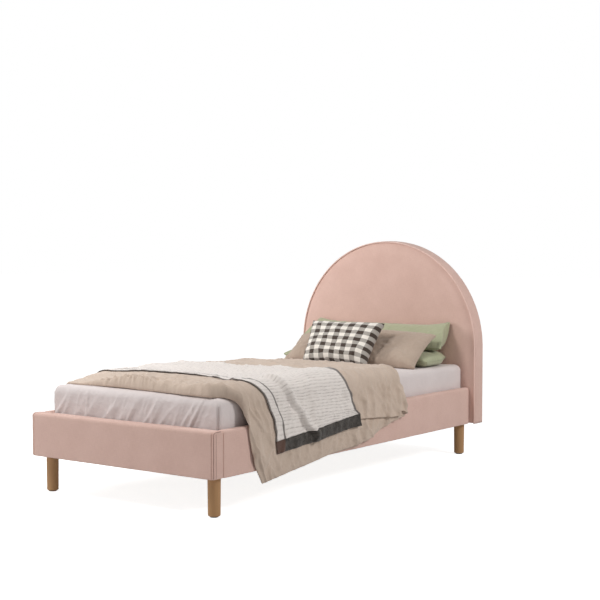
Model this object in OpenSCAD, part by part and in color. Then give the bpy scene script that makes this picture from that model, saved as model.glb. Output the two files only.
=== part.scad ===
// Upholstered junior bed with an arched headboard, sprung slats and its bedding.
// X runs across the bed, Y from foot to head, Z up from the floor. Sizes in millimetres.

/* [Mattress] */
// Width of the bare mattress
mattress_w = 915; // [700:5:1400]
// Length of the bare mattress
mattress_l = 1875; // [1400:5:2000]
// Thickness of the bare mattress
mattress_h = 200; // [150:5:280]
// Depth that the mattress sits below the top of the rails
mattress_sink = 90; // [50:5:110]
// Radius of the mattress corners, seen from above
mattress_corner = 16; // [12:1:80]
// Thickness of the stretched sheet
sheet_t = 2.2; // [1:0.1:5]
// Free gap between the sheet and each side rail
side_gap = 6; // [4:1:20]
// Free gap between the sheet and the foot panel
foot_gap = 23; // [5:1:60]
// Free gap between the sheet and the headboard
head_gap = 4; // [2:1:30]

/* [Rails] */
// Height of the side rails and the foot panel
rail_h = 180; // [150:5:260]
// Thickness of the board in each side rail
rail_board_t = 20; // [16:1:28]
// Padding on the outer face of the side rails
rail_pad_t = 14; // [6:1:30]
// Thickness of the board in the foot panel
foot_board_t = 24; // [18:1:36]
// Padding on the outer face of the foot panel
foot_pad_t = 15; // [6:1:30]
// Padding on the inner face of the foot panel
foot_lining_t = 18; // [6:1:30]
// Padding over the top edges
top_pad_t = 8; // [4:1:14]
// Radius of the padded top edges
edge_r = 12; // [4:1:15]
// Cloth wrapped over a board where it has no padding
cloth_t = 2; // [1:0.5:3]
// Height of the cloth turned down inside the side rails
return_h = 45; // [20:1:70]

/* [Headboard] */
// Distance that the headboard stands out past each side rail
head_over = 30; // [0:5:80]
// Height of the arch's centre above the floor
arch_z = 536; // [450:2:800]
// Padding on the front of the headboard
head_pad_t = 30; // [15:1:50]
// Fall of the padding at its seam
head_crown = 8; // [3:1:12]
// Thickness of the plywood face behind the padding
head_face_t = 9; // [6:1:15]
// Depth of the timber frame inside the headboard
head_frame_t = 44; // [30:1:70]
// Thickness of the back panel
head_back_t = 3; // [2:0.5:8]
// Width of the timber in the headboard frame
head_rib_w = 60; // [40:1:90]
// Height of the bottom rail of the headboard frame
head_rail_h = 110; // [90:1:160]
// Thickness of the cloth band around the headboard
border_t = 3; // [2:0.5:6]
// Diameter of the piping cord
piping_d = 7; // [5:0.5:10]

/* [Legs] */
// Height of the underside of the rails
leg_h = 155; // [100:5:250]
// Diameter at the top of a leg
leg_top_d = 52; // [40:1:70]
// Diameter at the foot of a leg
leg_foot_d = 49; // [30:1:70]
// Distance from the outer side of a rail to the leg's axis
leg_in_x = 52; // [40:1:70]
// Distance from the outer face of the foot panel to the leg's axis
leg_in_foot = 64; // [60:1:90]
// Distance from the headboard's face to the leg's axis
leg_in_head = 7; // [5:1:60]
// Diameter of the glide under a leg
glide_d = 34; // [20:1:38]
// Thickness of the glide that shows under a leg
glide_t = 4; // [2:0.5:8]
// Thickness of the steel leg plate
plate_t = 2.5; // [1.5:0.5:5]

/* [Corner blocks and bolts] */
// Side of a corner block along the side rail
block_l = 88; // [70:1:110]
// Side of a corner block across the bed
block_w = 86; // [70:1:110]
// Diameter of all the bolts
bolt_d = 8; // [6:1:10]
// Diameter of the bolt heads
bolt_head_d = 14; // [12:1:18]
// Height of the bolt heads
bolt_head_h = 6; // [4:1:9]
// Length of the bolts in their boards
bolt_grip = 14; // [10:1:15]
// Outer diameter of the threaded inserts
insert_d = 12; // [11:1:16]

/* [Slats] */
// Number of slats
slat_n = 14; // [10:1:16]
// Width of a slat
slat_w = 66; // [40:1:80]
// Thickness of a slat
slat_t = 8; // [6:1:12]
// Rise of a slat at its middle
slat_rise = 10; // [4:1:16]
// Distance of the end slats from the end of the frame
slat_end = 52; // [50:1:90]
// Width of the ledger that carries the slats
ledger_w = 34; // [28:1:50]
// Height of the ledger
ledger_h = 40; // [30:1:60]
// Wall of a slat holder
holder_wall = 3; // [2:0.5:5]

/* [Duvet] */
// Thickness of the duvet at the middle of the bed
duvet_t = 46; // [20:1:80]
// Thickness of the duvet where it hangs
duvet_hang_t = 7; // [5:1:12]
// Height of the duvet's right hem above the floor, at its foot corner
duvet_hem_z = 100; // [90:1:200]
// Height of the duvet's left hem above the floor
duvet_left_z = 140; // [90:1:200]
// Rise of the right hem towards the head
duvet_hem_rise = 165; // [0:5:180]
// Distance of the duvet's foot edge from the foot panel's face
duvet_foot = 85; // [75:1:300]
// Distance of the duvet's head edge from the headboard's face
duvet_head = 524; // [514:5:764]
// Share of the duvet's loft that is left at its head edge
duvet_taper = 0.42; // [0.3:0.01:1]
// Height of the folds in what hangs
drape_fold = 6; // [0:1:8]

/* [Turned back part of the duvet] */
// Thickness of the turned back layer on the bed
turn_t = 14; // [8:1:24]
// Thickness of the turned back layer where it hangs
turn_hang_t = 5; // [4:1:8]
// Distance of its foot edge from the headboard's face
turn_foot = 1224; // [1064:5:1364]
// Height of its hems above the floor
turn_hem_z = 288; // [200:1:320]
// Fall of its right hem towards the head
turn_hem_fall = 20; // [0:1:40]

/* [Throw] */
// Thickness of the throw
throw_t = 3; // [2:0.5:6]
// Width of the throw along the bed
throw_w = 550; // [300:10:700]
// Distance of its foot edge from the foot panel's face, at the middle
throw_foot = 350; // [250:5:400]
// Height of its right hem above the floor, at the foot edge
throw_hem_z = 207; // [180:1:300]
// Rise of its right hem towards the head
throw_hem_rise = 55; // [0:1:100]
// Height of its left hem above the floor
throw_left_z = 250; // [180:1:300]
// Width of the dark band at each hem
band_w = 44; // [20:1:60]

/* [Pillows] */
// Width of the green pillows
green_w = 870; // [500:10:900]
// Height of the lower green pillow
green_low_h = 74; // [50:1:120]
// Depth of the lower green pillow
green_low_d = 292; // [200:1:292]
// Depth of the upper green pillow
green_up_d = 155; // [140:1:195]
// Height of the upper green pillow
green_up_h = 114; // [80:1:140]
// Width of the beige pillow
beige_w = 800; // [500:10:900]
// Depth of the beige pillow
beige_d = 248; // [200:1:252]
// Lean of the beige pillow from the bed
beige_lean = 36; // [34:1:40]
// Width of the checked cushion
check_w = 425; // [300:5:500]
// Height of the checked cushion
check_d = 240; // [200:1:280]
// Lean of the checked cushion from the bed
check_lean = 57; // [52:1:66]

/* [Hidden] */
slip = 0.3;
hole_slip = 0.3;
lay_gap = 0.8;
drape_gap = 1.5;
$fn = 48;

sheet_w = mattress_w + 2 * (sheet_t + slip);
sheet_l = mattress_l + 2 * (sheet_t + slip);
side_t = rail_board_t + rail_pad_t;
foot_t = foot_pad_t + foot_board_t + foot_lining_t;
head_t = head_pad_t + head_face_t + head_frame_t + head_back_t;
inner_w = sheet_w + 2 * side_gap;
inner_l = sheet_l + foot_gap + head_gap;
frame_w = inner_w + 2 * side_t;
head_w = frame_w + 2 * head_over;
head_r = head_w / 2;
total_l = foot_t + inner_l + head_t;

foot_y = -total_l / 2;
inner_y = foot_y + foot_t;
head_y = inner_y + inner_l;
back_y = head_y + head_t;
rail_z = leg_h + rail_h;

mattress_z = rail_z - mattress_sink;
sheet_top = mattress_z + mattress_h + slip + sheet_t;
sheet_edge_r = 30;
sheet_y = inner_y + foot_gap;

slat_top = mattress_z - sheet_t - 2 * slip;
slat_seat = slat_top - slat_rise - slat_t;
holder_base = slat_seat - slip - holder_wall;
slat_l = inner_w - 2 * (holder_wall + 1);
slat_r = (pow(slat_l / 2, 2) + pow(slat_rise, 2)) / (2 * slat_rise);
slat_pitch = (inner_l - 2 * slat_end) / (slat_n - 1);

block_y = [inner_y - foot_lining_t, head_y + head_pad_t - block_l];
block_top = holder_base;
block_z = leg_h + plate_t;
foot_leg_y = foot_y + leg_in_foot;
head_leg_y = head_y - leg_in_head;
leg_x = frame_w / 2 - leg_in_x;
end_level = [0.15, 0.63];
side_level = [0.39, 0.87];
insert_l = 12;

// A smooth step from 0 to 1
function ease(t) = let (c = min(1, max(0, t))) c * c * (3 - 2 * c);
function blend(a, b, t) = a + (b - a) * t;
function sign_of(x) = x < 0 ? -1 : 1;

// Closed rings, counterclockwise from above and in order from the bottom, joined by triangles
// and closed at both ends around a middle point
module loft(rings) {
    n = len(rings[0]);
    m = len(rings);
    first = [for (k = [0:2]) mean([for (p = rings[0]) p[k]])];
    last = [for (k = [0:2]) mean([for (p = rings[m - 1]) p[k]])];
    points = concat([for (r = rings) each r], [first, last]);
    sides = [for (j = [0:m - 2], i = [0:n - 1])
        let (a = j * n + i, b = j * n + (i + 1) % n)
        each [[a, b + n, b], [a, a + n, b + n]]];
    ends = [for (i = [0:n - 1])
        let (k = (i + 1) % n)
        each [[n * m, i, k], [n * m + 1, (m - 1) * n + k, (m - 1) * n + i]]];
    polyhedron(points, concat(sides, ends), convexity = 6);
}
function mean(v) = v * [for (i = v) 1] / len(v);

// A thick sheet between an inner and an outer grid of points, rows along the first index
module thick_grid(outer, inner) {
    m = len(outer);
    n = len(outer[0]);
    half = m * n;
    points = concat([for (r = outer) each r], [for (r = inner) each r]);
    faces = [for (j = [0:m - 2], i = [0:n - 2])
        let (a = j * n + i, b = a + n)
        each [[a, a + 1, b + 1], [a, b + 1, b],
              [a + half, b + 1 + half, a + 1 + half], [a + half, b + half, b + 1 + half]]];
    ring = concat([for (i = [0:n - 1]) i], [for (j = [1:m - 1]) j * n + n - 1],
        [for (i = [n - 2:-1:0]) (m - 1) * n + i], [for (j = [m - 2:-1:1]) j * n]);
    count = len(ring);
    rim = [for (k = [0:count - 1])
        let (a = ring[k], b = ring[(k + 1) % count])
        each [[a, a + half, b + half], [a, b + half, b]]];
    polyhedron(points, concat(faces, rim), convexity = 10);
}

// A rectangle with its own radius at the two upper and the two lower corners
module rounded_panel(w, h, top_r, low_r) {
    for (s = [-1, 1]) {
        translate([s * (w / 2 - top_r), h - top_r]) circle(top_r);
        translate([s * (w / 2 - low_r), low_r]) circle(low_r);
    }
    translate([top_r - w / 2, h / 2]) square([w - 2 * top_r, h / 2]);
    translate([low_r - w / 2, 0]) square([w - 2 * low_r, h / 2]);
    translate([-w / 2, low_r]) square([w, h - low_r - top_r]);
}

// Headboard shapes: a profile of [distance from the arch's centre line, height above a plane]
// turned over the top half, and drawn straight down to the bottom of the bed
module arch(profile, y, bottom) {
    translate([0, y, arch_z])
        rotate([90, 0, 0])
        rotate_extrude(angle = 180, $fn = 96)
        polygon(profile);
    for (s = [0, 1])
        mirror([s, 0, 0])
        translate([0, y, bottom])
        linear_extrude(arch_z - bottom)
        mirror([0, 1])
        polygon(profile);
}
function slab(r0, r1, h) = [[r0, 0], [r1, 0], [r1, h], [r0, h]];

module headboard_frame() {
    r = head_r - border_t - slip;
    color("burlywood")
        arch(slab(r - head_rib_w, r, head_frame_t), back_y - head_back_t, leg_h + border_t);
}

module headboard_rails() {
    w = 2 * (head_r - border_t - slip - head_rib_w) - 2 * slip;
    y = back_y - head_back_t - head_frame_t;
    color("burlywood") {
        difference() {
            translate([-w / 2, y, leg_h + border_t]) cube([w, head_frame_t, head_rail_h]);
            for (x = [-1, 1], k = end_level)
                translate([x * block_mid_x, y, block_bolt_z(k)]) end_hole(1);
        }
        translate([-w / 2, y, arch_z - head_rib_w]) cube([w, head_frame_t, head_rib_w]);
        translate([-head_rib_w / 2, y, leg_h + border_t + head_rail_h + slip])
            cube([head_rib_w, head_frame_t, arch_z - leg_h - border_t - head_rail_h - head_rib_w - 2 * slip]);
    }
}

module headboard_face() {
    color("tan")
        difference() {
            arch(slab(0, head_r - border_t - slip, head_face_t),
                back_y - head_back_t - head_frame_t, leg_h + border_t);
            for (x = [-1, 1], k = end_level)
                translate([x * block_mid_x, head_y + head_pad_t - 1, block_bolt_z(k)])
                    rotate([-90, 0, 0]) cylinder(d = bolt_d + 2 * hole_slip, h = head_face_t + 2);
        }
}

module headboard_pad() {
    r = head_r - border_t - slip;
    fall = head_pad_t - head_crown;
    soft = 40;
    curve = [for (k = [0:8]) [r - 6 - soft * k / 8, fall + 1 + (head_crown - 1) * sin(90 * k / 8)]];
    pocket = block_l - (head_y - block_y[1]);
    difference() {
        color("rosybrown")
            arch(concat([[0, 0], [r, 0], [r, fall - 0.6]], curve, [[0, head_pad_t]]),
                head_y + head_pad_t, leg_h + border_t);
        for (x = [-1, 1])
            translate([x * block_mid_x - block_w / 2 - slip, head_y - 1, leg_h - 1])
                cube([block_w + 2 * slip, pocket + 2, block_top - leg_h + 1 + slip]);
    }
}

module headboard_border() {
    depth = head_t - head_crown;
    color("rosybrown") {
        arch(slab(head_r - border_t, head_r, depth), back_y, leg_h);
        translate([-head_r + border_t, back_y - head_back_t - head_frame_t, leg_h])
            cube([2 * (head_r - border_t), head_frame_t, border_t - slip]);
    }
}

module headboard_piping() {
    r = head_r - piping_d / 2;
    y = head_y + head_crown - slip - piping_d / 2;
    color("rosybrown") {
        translate([0, y, arch_z])
            rotate([90, 0, 0])
            rotate_extrude(angle = 180, $fn = 96)
            translate([r, 0])
            circle(d = piping_d, $fn = 24);
        for (x = [-r, r])
            translate([x, y, leg_h]) cylinder(d = piping_d, h = arch_z - leg_h, $fn = 24);
    }
}

module headboard_back() {
    color("gainsboro")
        arch(slab(0, head_r - border_t - slip, head_back_t - slip), back_y, leg_h + border_t);
}

// Middle of a corner block across the bed, and the height of its bolts
block_mid_x = inner_w / 2 - block_w / 2;
function block_bolt_z(k) = blend(block_z, block_top, k);

// Clearance hole and insert seat at the face of a board, going into it along Y
module end_hole(side) {
    rotate([-90 * side, 0, 0]) translate([0, 0, -1])
        cylinder(d = insert_d + 2 * hole_slip, h = bolt_grip + 2);
}
module side_hole(side) {
    rotate([0, 90 * side, 0]) translate([0, 0, -1])
        cylinder(d = insert_d + 2 * hole_slip, h = bolt_grip + 2);
}

module foot_board() {
    h = rail_h - top_pad_t - cloth_t;
    w = frame_w - 2 * rail_pad_t;
    color("tan")
        difference() {
            translate([-w / 2, foot_y + foot_pad_t, leg_h + cloth_t]) cube([w, foot_board_t, h]);
            for (x = [-1, 1], k = end_level)
                translate([x * block_mid_x, block_y[0], block_bolt_z(k)]) end_hole(-1);
        }
}

module foot_cover() {
    board_w = frame_w - 2 * rail_pad_t + 2 * slip;
    color("rosybrown")
        difference() {
            intersection() {
                translate([-frame_w / 2, foot_y + foot_t / 2, leg_h])
                    rotate([90, 0, 90])
                    linear_extrude(frame_w)
                    rounded_panel(foot_t, rail_h, edge_r, cloth_t * 2);
                translate([0, foot_y, leg_h - 1])
                    linear_extrude(rail_h + 2)
                    rounded_panel(frame_w, foot_t, cloth_t * 2, edge_r);
            }
            translate([-board_w / 2, foot_y + foot_pad_t - slip, leg_h + cloth_t - slip])
                cube([board_w, foot_board_t + 2 * slip, rail_h - top_pad_t - cloth_t + 2 * slip]);
            for (x = [-1, 1])
                translate([x * block_mid_x - block_w / 2 - slip, block_y[0] - slip, leg_h - 1])
                    cube([block_w + 2 * slip, foot_lining_t + 1 + slip, block_top - leg_h + 1 + slip]);
        }
}

// Side rails, drawn on the right and mirrored for the left
module on_side(s) {
    mirror([s > 0 ? 0 : 1, 0, 0]) children();
}

module rail_board(s) {
    on_side(s)
        color("tan")
        difference() {
            translate([inner_w / 2, inner_y + slip, leg_h + cloth_t])
                cube([rail_board_t, inner_l - 2 * slip, rail_h - top_pad_t - cloth_t]);
            for (e = [0, 1], k = side_level)
                translate([inner_w / 2, side_bolt_y(e), block_bolt_z(k)]) side_hole(1);
        }
}
// Bolts into the side rails stand clear of the leg and of the bolts into the end panels
function side_bolt_y(e) = e == 0 ? inner_y + block_l - foot_lining_t - 24 : block_y[1] + 24;

module rail_cover(s) {
    inner = inner_w / 2;
    board_h = rail_h - top_pad_t - cloth_t;
    w = side_t + cloth_t;
    on_side(s)
        color("rosybrown")
        difference() {
            translate([inner - cloth_t + w / 2, inner_y + inner_l - slip, leg_h])
                rotate([90, 0, 0])
                linear_extrude(inner_l - 2 * slip)
                rounded_panel(w, rail_h, edge_r, cloth_t * 2);
            translate([inner - slip, inner_y - 1, leg_h + cloth_t - slip])
                cube([rail_board_t + 2 * slip, inner_l + 2, board_h + 2 * slip]);
            translate([inner - cloth_t - 1, inner_y - 1, leg_h - 1])
                cube([cloth_t + 1 + slip, inner_l + 2, rail_h - return_h + 1]);
        }
}

module ledger(s) {
    start = block_y[0] + block_l + slip;
    color("burlywood")
        on_side(s)
        translate([inner_w / 2 - ledger_w, start, holder_base - ledger_h])
        cube([ledger_w, block_y[1] - slip - start, ledger_h]);
}

// A hardwood block inside a corner, bored for the leg bolt and for the bolts of both rails
module corner_block(s, e) {
    color("burlywood")
        difference() {
            translate([s * block_mid_x - block_w / 2, block_y[e], block_z])
                cube([block_w, block_l, block_top - block_z]);
            translate([s * leg_x, leg_y(e), block_z - 1])
                cylinder(d = insert_d + 2 * hole_slip, h = insert_l + 2);
            translate([s * leg_x, leg_y(e), block_z - 1])
                cylinder(d = bolt_d + 2 * hole_slip, h = 40);
            for (k = end_level)
                translate([s * block_mid_x, block_y[e] - 1, block_bolt_z(k)])
                    rotate([-90, 0, 0]) cylinder(d = bolt_d + 2 * hole_slip, h = block_l + 2);
            for (k = side_level)
                translate([s * (block_mid_x - block_w), side_bolt_y(e), block_bolt_z(k)])
                    rotate([0, s * 90, 0]) cylinder(d = bolt_d + 2 * hole_slip, h = 2 * block_w);
        }
}
function leg_y(e) = e == 0 ? foot_leg_y : head_leg_y;

// A turned leg with a rounded foot, bored for its bolt and its glide
module leg(s, e) {
    foot_r = leg_foot_d / 2;
    top_r = leg_top_d / 2;
    round_r = 5;
    curve = [for (k = [0:4])
        [foot_r - round_r + round_r * sin(22.5 * k), glide_t + round_r * (1 - cos(22.5 * k))]];
    color("peru")
        difference() {
            translate([s * leg_x, leg_y(e), 0])
                rotate_extrude($fn = 64)
                polygon(concat([[0, glide_t]], curve, [[top_r, leg_h - 2], [top_r - 1, leg_h], [0, leg_h]]));
            translate([s * leg_x, leg_y(e), leg_h - 50]) cylinder(d = bolt_d + 0.2, h = 51);
            translate([s * leg_x, leg_y(e), glide_t - 1]) cylinder(d = 5.2, h = 21);
        }
}

module leg_plates() {
    edge = 3;
    color("silver")
        for (s = [-1, 1], e = [0, 1])
            difference() {
                translate([s * block_mid_x - block_w / 2 + edge, block_y[e] + edge, leg_h])
                    cube([block_w - 2 * edge, block_l - 2 * edge, plate_t]);
                translate([s * leg_x, leg_y(e), leg_h - 1])
                    cylinder(d = bolt_d + 2 * hole_slip, h = plate_t + 2);
            }
}

module leg_bolts() {
    color("silver")
        for (s = [-1, 1], e = [0, 1])
            translate([s * leg_x, leg_y(e), leg_h - 48])
                cylinder(d = bolt_d, h = 48 + plate_t + 34);
}

module leg_glides() {
    color("dimgray")
        for (s = [-1, 1], e = [0, 1])
            translate([s * leg_x, leg_y(e), 0]) {
                cylinder(d1 = glide_d - 2, d2 = glide_d, h = 1);
                translate([0, 0, 1]) cylinder(d = glide_d, h = glide_t - 1);
                cylinder(d = 5, h = glide_t + 18);
            }
}

// A bolt with a flat round head and a hexagon socket, its head at the origin and its shank along +Z
module bolt(length) {
    difference() {
        union() {
            translate([0, 0, -bolt_head_h]) cylinder(d = bolt_head_d, h = bolt_head_h);
            translate([0, 0, -1]) cylinder(d = bolt_d, h = length + 1);
        }
        translate([0, 0, -bolt_head_h - 1]) cylinder(d = bolt_d * 0.7, h = bolt_head_h - 1, $fn = 6);
    }
}

module rail_bolts() {
    length = block_w + bolt_grip - 2;
    color("silver")
        for (s = [-1, 1], e = [0, 1], k = side_level)
            translate([s * (inner_w / 2 - block_w - slip), side_bolt_y(e), block_bolt_z(k)])
                rotate([0, s * 90, 0]) bolt(length);
}

module end_bolts() {
    color("silver")
        for (s = [-1, 1], e = [0, 1], k = end_level)
            translate([s * block_mid_x, e == 0 ? block_y[0] + block_l + slip : block_y[1] - slip,
                       block_bolt_z(k)])
                rotate([e == 0 ? 90 : -90, 0, 0]) bolt(block_l + e * head_face_t + bolt_grip - 2);
}

// Brass sleeves in the boards and corner blocks that the bolts screw into
module threaded_inserts() {
    color("goldenrod") {
        for (s = [-1, 1], e = [0, 1]) {
            for (k = side_level)
                translate([s * (inner_w / 2 + 0.5), side_bolt_y(e), block_bolt_z(k)])
                    rotate([0, s * 90, 0]) insert();
            for (k = end_level)
                translate([s * block_mid_x,
                           e == 0 ? block_y[0] - 0.5 : head_y + head_pad_t + head_face_t + 0.5,
                           block_bolt_z(k)])
                    rotate([e == 0 ? 90 : -90, 0, 0]) insert();
        }
        for (s = [-1, 1], e = [0, 1])
            translate([s * leg_x, leg_y(e), block_z + 0.2]) insert();
    }
}
module insert() {
    difference() {
        cylinder(d = insert_d, h = insert_l);
        translate([0, 0, -1]) cylinder(d = bolt_d + 0.2, h = insert_l + 2);
    }
}

function slat_y(i) = inner_y + slat_end + slat_pitch * (i - 1);

// A sprung slat, bowed upwards along a circle
module slat(i) {
    half = asin(slat_l / 2 / slat_r);
    color("wheat")
        translate([0, slat_y(i) + slat_w / 2, slat_top - slat_r])
        rotate([90, 0, 0])
        rotate([0, 0, 90 - half])
        rotate_extrude(angle = 2 * half, $fn = 1440)
        translate([slat_r - slat_t, 0])
        square([slat_t, slat_w]);
}

// Plastic holders on a ledger, one around the end of each slat
module slat_holders(s) {
    deep = ledger_w - 4;
    wide = slat_w + 2 * (holder_wall + slip);
    tall = slat_t + 2 * holder_wall + 2 * slip + 1.6;
    color("dimgray")
        on_side(s)
        for (i = [1:slat_n])
            difference() {
                translate([inner_w / 2 - deep, slat_y(i) - wide / 2, holder_base])
                    cube([deep - slip, wide, tall]);
                translate([inner_w / 2 - deep - 1, slat_y(i) - slat_w / 2 - slip, holder_base + holder_wall])
                    cube([deep - holder_wall + 1 - slip, slat_w + 2 * slip, tall - 2 * holder_wall]);
            }
}

// One ring of a soft block's outline, drawn in by inset, with the foot side pushed out in folds
function block_ring(w, l, y, z, corner, inset, push = 0) =
    let (r = max(2, corner - inset), hw = w / 2 - inset - r, hl = l / 2 - inset - r,
         mid = [[hw, -hl], [hw, hl], [-hw, hl], [-hw, -hl]], turns = 3)
    [for (q = [0:3])
        let (a = 90 * q,
             from = mid[q] + r * [cos(a), sin(a)],
             to = mid[(q + 1) % 4] + r * [cos(a), sin(a)],
             m = q == 3 ? 10 : 2)
        each concat(
            [for (k = [0:turns - 1])
                let (b = a - 90 + 90 * k / turns) [mid[q][0] + r * cos(b), y + mid[q][1] + r * sin(b), z]],
            [for (k = [0:m - 1])
                let (p = blend(from, to, k / m))
                [p[0], y + p[1] - (q == 3 ? push * foot_ripple(k / m) : 0), z]])];
function foot_ripple(t) = sin(180 * t) * (0.5 + 0.5 * cos(1300 * t + 200 * t * t));

// Rings of a rounded upper edge and a rounded lower edge, as [inset, height]
function upper_edge(z, r) = [for (k = [0:3]) [r * (1 - cos(30 * k)), z - r * (1 - sin(30 * k))]];
function lower_edge(z, r) = [for (k = [0:3]) [r * (1 - sin(30 * k)), z + r * (1 - cos(30 * k))]];

module mattress() {
    r = sheet_edge_r - sheet_t - slip;
    color("whitesmoke")
        loft([for (p = concat(lower_edge(mattress_z, r), upper_edge(mattress_z + mattress_h, r)))
            block_ring(mattress_w, mattress_l, sheet_y + sheet_l / 2, p[1], mattress_corner, p[0])]);
}

// A sheet with soft upright folds at the foot, open underneath where its elastic draws it in
module fitted_sheet() {
    hem = 60;
    low_r = sheet_edge_r - sheet_t - slip;
    z0 = mattress_z - slip - sheet_t;
    cy = sheet_y + sheet_l / 2;
    in_w = mattress_w + 2 * slip;
    in_l = mattress_l + 2 * slip;
    up = upper_edge(sheet_top - sheet_t, low_r);
    down = lower_edge(z0 + sheet_t, low_r);
    out_r = mattress_corner + sheet_t + slip;
    color("lavenderblush")
        loft(concat(
            [for (k = [3:-1:0]) block_ring(in_w, in_l, cy, up[k][1], mattress_corner + slip, up[k][0])],
            [for (k = [3:-1:0]) block_ring(in_w, in_l, cy, down[k][1], mattress_corner + slip, down[k][0])],
            [block_ring(in_w, in_l, cy, z0 + sheet_t, mattress_corner + slip, hem),
             block_ring(in_w, in_l, cy, z0, mattress_corner + slip, hem)],
            [for (p = lower_edge(z0, sheet_edge_r)) block_ring(sheet_w, sheet_l, cy, p[1], out_r, p[0])],
            [block_ring(sheet_w, sheet_l, cy, blend(z0, sheet_top, 0.45), out_r, 0, 4)],
            [for (p = upper_edge(sheet_top, sheet_edge_r))
                block_ring(sheet_w, sheet_l, cy, p[1], out_r, p[0], p[0] < 1 ? 3 : 0)]));
}

// Section that the bedding follows over the mattress and down outside the rails. The distance s
// is measured along it from the middle of the bed, to the right where it is positive.
shoulder_r = 45;
hip_r = 40;
slope = 70;
shoulder_x = sheet_w / 2 - sheet_edge_r + 1.5;
shoulder_z = sheet_top + lay_gap - shoulder_r;
drape_x = frame_w / 2 + 2.3;
slope_l = (drape_x - hip_r + hip_r * sin(slope) - shoulder_x - shoulder_r * sin(slope)) / cos(slope);
hip_z = shoulder_z + shoulder_r * cos(slope) - slope_l * sin(slope) - hip_r * cos(slope);
s1 = shoulder_x;
s2 = s1 + shoulder_r * slope * PI / 180;
s3 = s2 + slope_l;
s4 = s3 + hip_r * (90 - slope) * PI / 180;

function tilt(d) = d < s1 ? 0 : d < s2 ? slope * (d - s1) / (s2 - s1) : d < s3 ? slope :
    d < s4 ? blend(slope, 90, (d - s3) / (s4 - s3)) : 90;
function section(d) = let (a = tilt(d))
    d < s1 ? [d, shoulder_z + shoulder_r] :
    d < s2 ? [shoulder_x + shoulder_r * sin(a), shoulder_z + shoulder_r * cos(a)] :
    d < s3 ? [shoulder_x + shoulder_r * sin(a) + (d - s2) * cos(a),
              shoulder_z + shoulder_r * cos(a) - (d - s2) * sin(a)] :
    d < s4 ? [drape_x + hip_r * (sin(a) - 1), hip_z + hip_r * cos(a)] : [drape_x, hip_z - (d - s4)];
// A point that lies the distance off outside the section
function lay(s, y, off) = let (p = section(abs(s)), a = tilt(abs(s)))
    [sign_of(s) * (p[0] + off * sin(a)), y, p[1] + off * cos(a)];
// Distance along the section down to a height on the hanging part
function down_to(z) = s4 + hip_z - z;

// Folds in everything that hangs, and the loose swell of the duvet's filling on the bed
function fold(s, y) = let (d = abs(s))
    drape_fold * ease((d - s2) / 200) * (0.5 + 0.5 * cos(y * 0.95 + 60 * sin(y * 0.31) + sign_of(s) * 70));
function swell(s, y) = 0.55 + 0.27 * sin(0.62 * s + 0.21 * y + 30) + 0.18 * cos(0.72 * y - 0.3 * s);
function side_puff(s, y) = 13 * exp(-pow((s - 405) / 70, 2)) * (0.65 + 0.35 * sin(0.7 * y + 200))
    - 16 * ease((-s - 180) / 240) * ease((y - foot_y - 500) / 280);
// Shares by which the layers get thinner towards the head
function share(y, y0, y1) = min(1, max(0, (y - y0) / (y1 - y0)));
function duvet_share(y) = blend(1, duvet_taper, share(y, foot_y + 500, duvet_end));
function turn_share(y) = blend(1, 0.6, share(y, turn_start, duvet_end));
function duvet_depth(s, y) = blend(
    duvet_share(y) * (duvet_t * (0.72 + 0.28 * swell(s, y)) + side_puff(s, y)),
    duvet_hang_t, ease((abs(s) - 428) / 105));
function turn_depth(s, y) = blend(turn_t * turn_share(y), turn_hang_t, ease((abs(s) - 428) / 105));

duvet_start = foot_y + duvet_foot;
duvet_end = head_y - duvet_head;
turn_start = head_y - turn_foot;

// Edges of the bedding, as [s, distance from their straight line]
duvet_foot_line = [[-800, 190], [-680, 150], [-560, 120], [-480, 75], [-430, 62], [-126, 57],
                   [65, 34], [246, 12], [400, 0], [440, 4], [480, 45], [565, 104], [620, 125],
                   [690, 140], [810, 200]];
duvet_rise_line = [[285, 0], [500, 0.17], [737, 0.35], [912, 0.41], [990, 0.48], [1097, 0.62],
                   [1161, 0.78], [1292, 0.95], [1440, 1]];
duvet_head_line = [[-800, -40], [-430, 0], [120, 0], [320, -50], [440, -112], [480, -108],
                   [600, -125], [810, -156]];
throw_foot_line = [[-700, -60], [-560, -100], [-440, -140], [-217, -55], [-53, 17], [32, 46], [106, 27],
                   [194, -12], [333, -83], [432, -122], [480, -70], [540, -14], [640, 20], [720, 26]];
throw_head_line = [[-700, 30], [-440, -30], [-200, -60], [60, -80], [250, -60], [400, -20],
                   [445, -45], [480, -30], [560, 0], [640, 36], [720, 34]];
function duvet_y(s, q) = blend(duvet_start + lookup(s, duvet_foot_line),
    duvet_end + lookup(s, duvet_head_line), q);
function turn_y(s, q) = blend(turn_start, duvet_end - 3 + lookup(s, duvet_head_line), q);
function throw_y(s, q) = blend(foot_y + throw_foot + lookup(s, throw_foot_line),
    foot_y + throw_foot + throw_w + lookup(s, throw_head_line), q);

// Full thickness inside an edge that rounds off over the distance r
function edge_round(d, r) = sqrt(1 - pow(1 - min(1, max(0, d) / r), 2));
function round_off(full, rim, d, r) = rim + (full - rim) * edge_round(d, r);

// Rows over the bed between two hems, finer where the section bends and at the hems
function rows(left, right, drop_steps, hem) = concat(
    [for (d = half_rows(left, drop_steps, hem)) -d], [0],
    let (h = half_rows(right, drop_steps, hem)) [for (i = [len(h) - 1:-1:0]) h[i]]);
function half_rows(end, drop_steps, hem) = concat(
    [end], hem > 0 ? [end - hem] : [],
    [for (k = [1:drop_steps - 1]) blend(end - hem, s4, k / drop_steps)], [s4, s3],
    [for (k = [4:-1:0]) blend(s1, s2, k / 4)], [370, 250, 125]);
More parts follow.
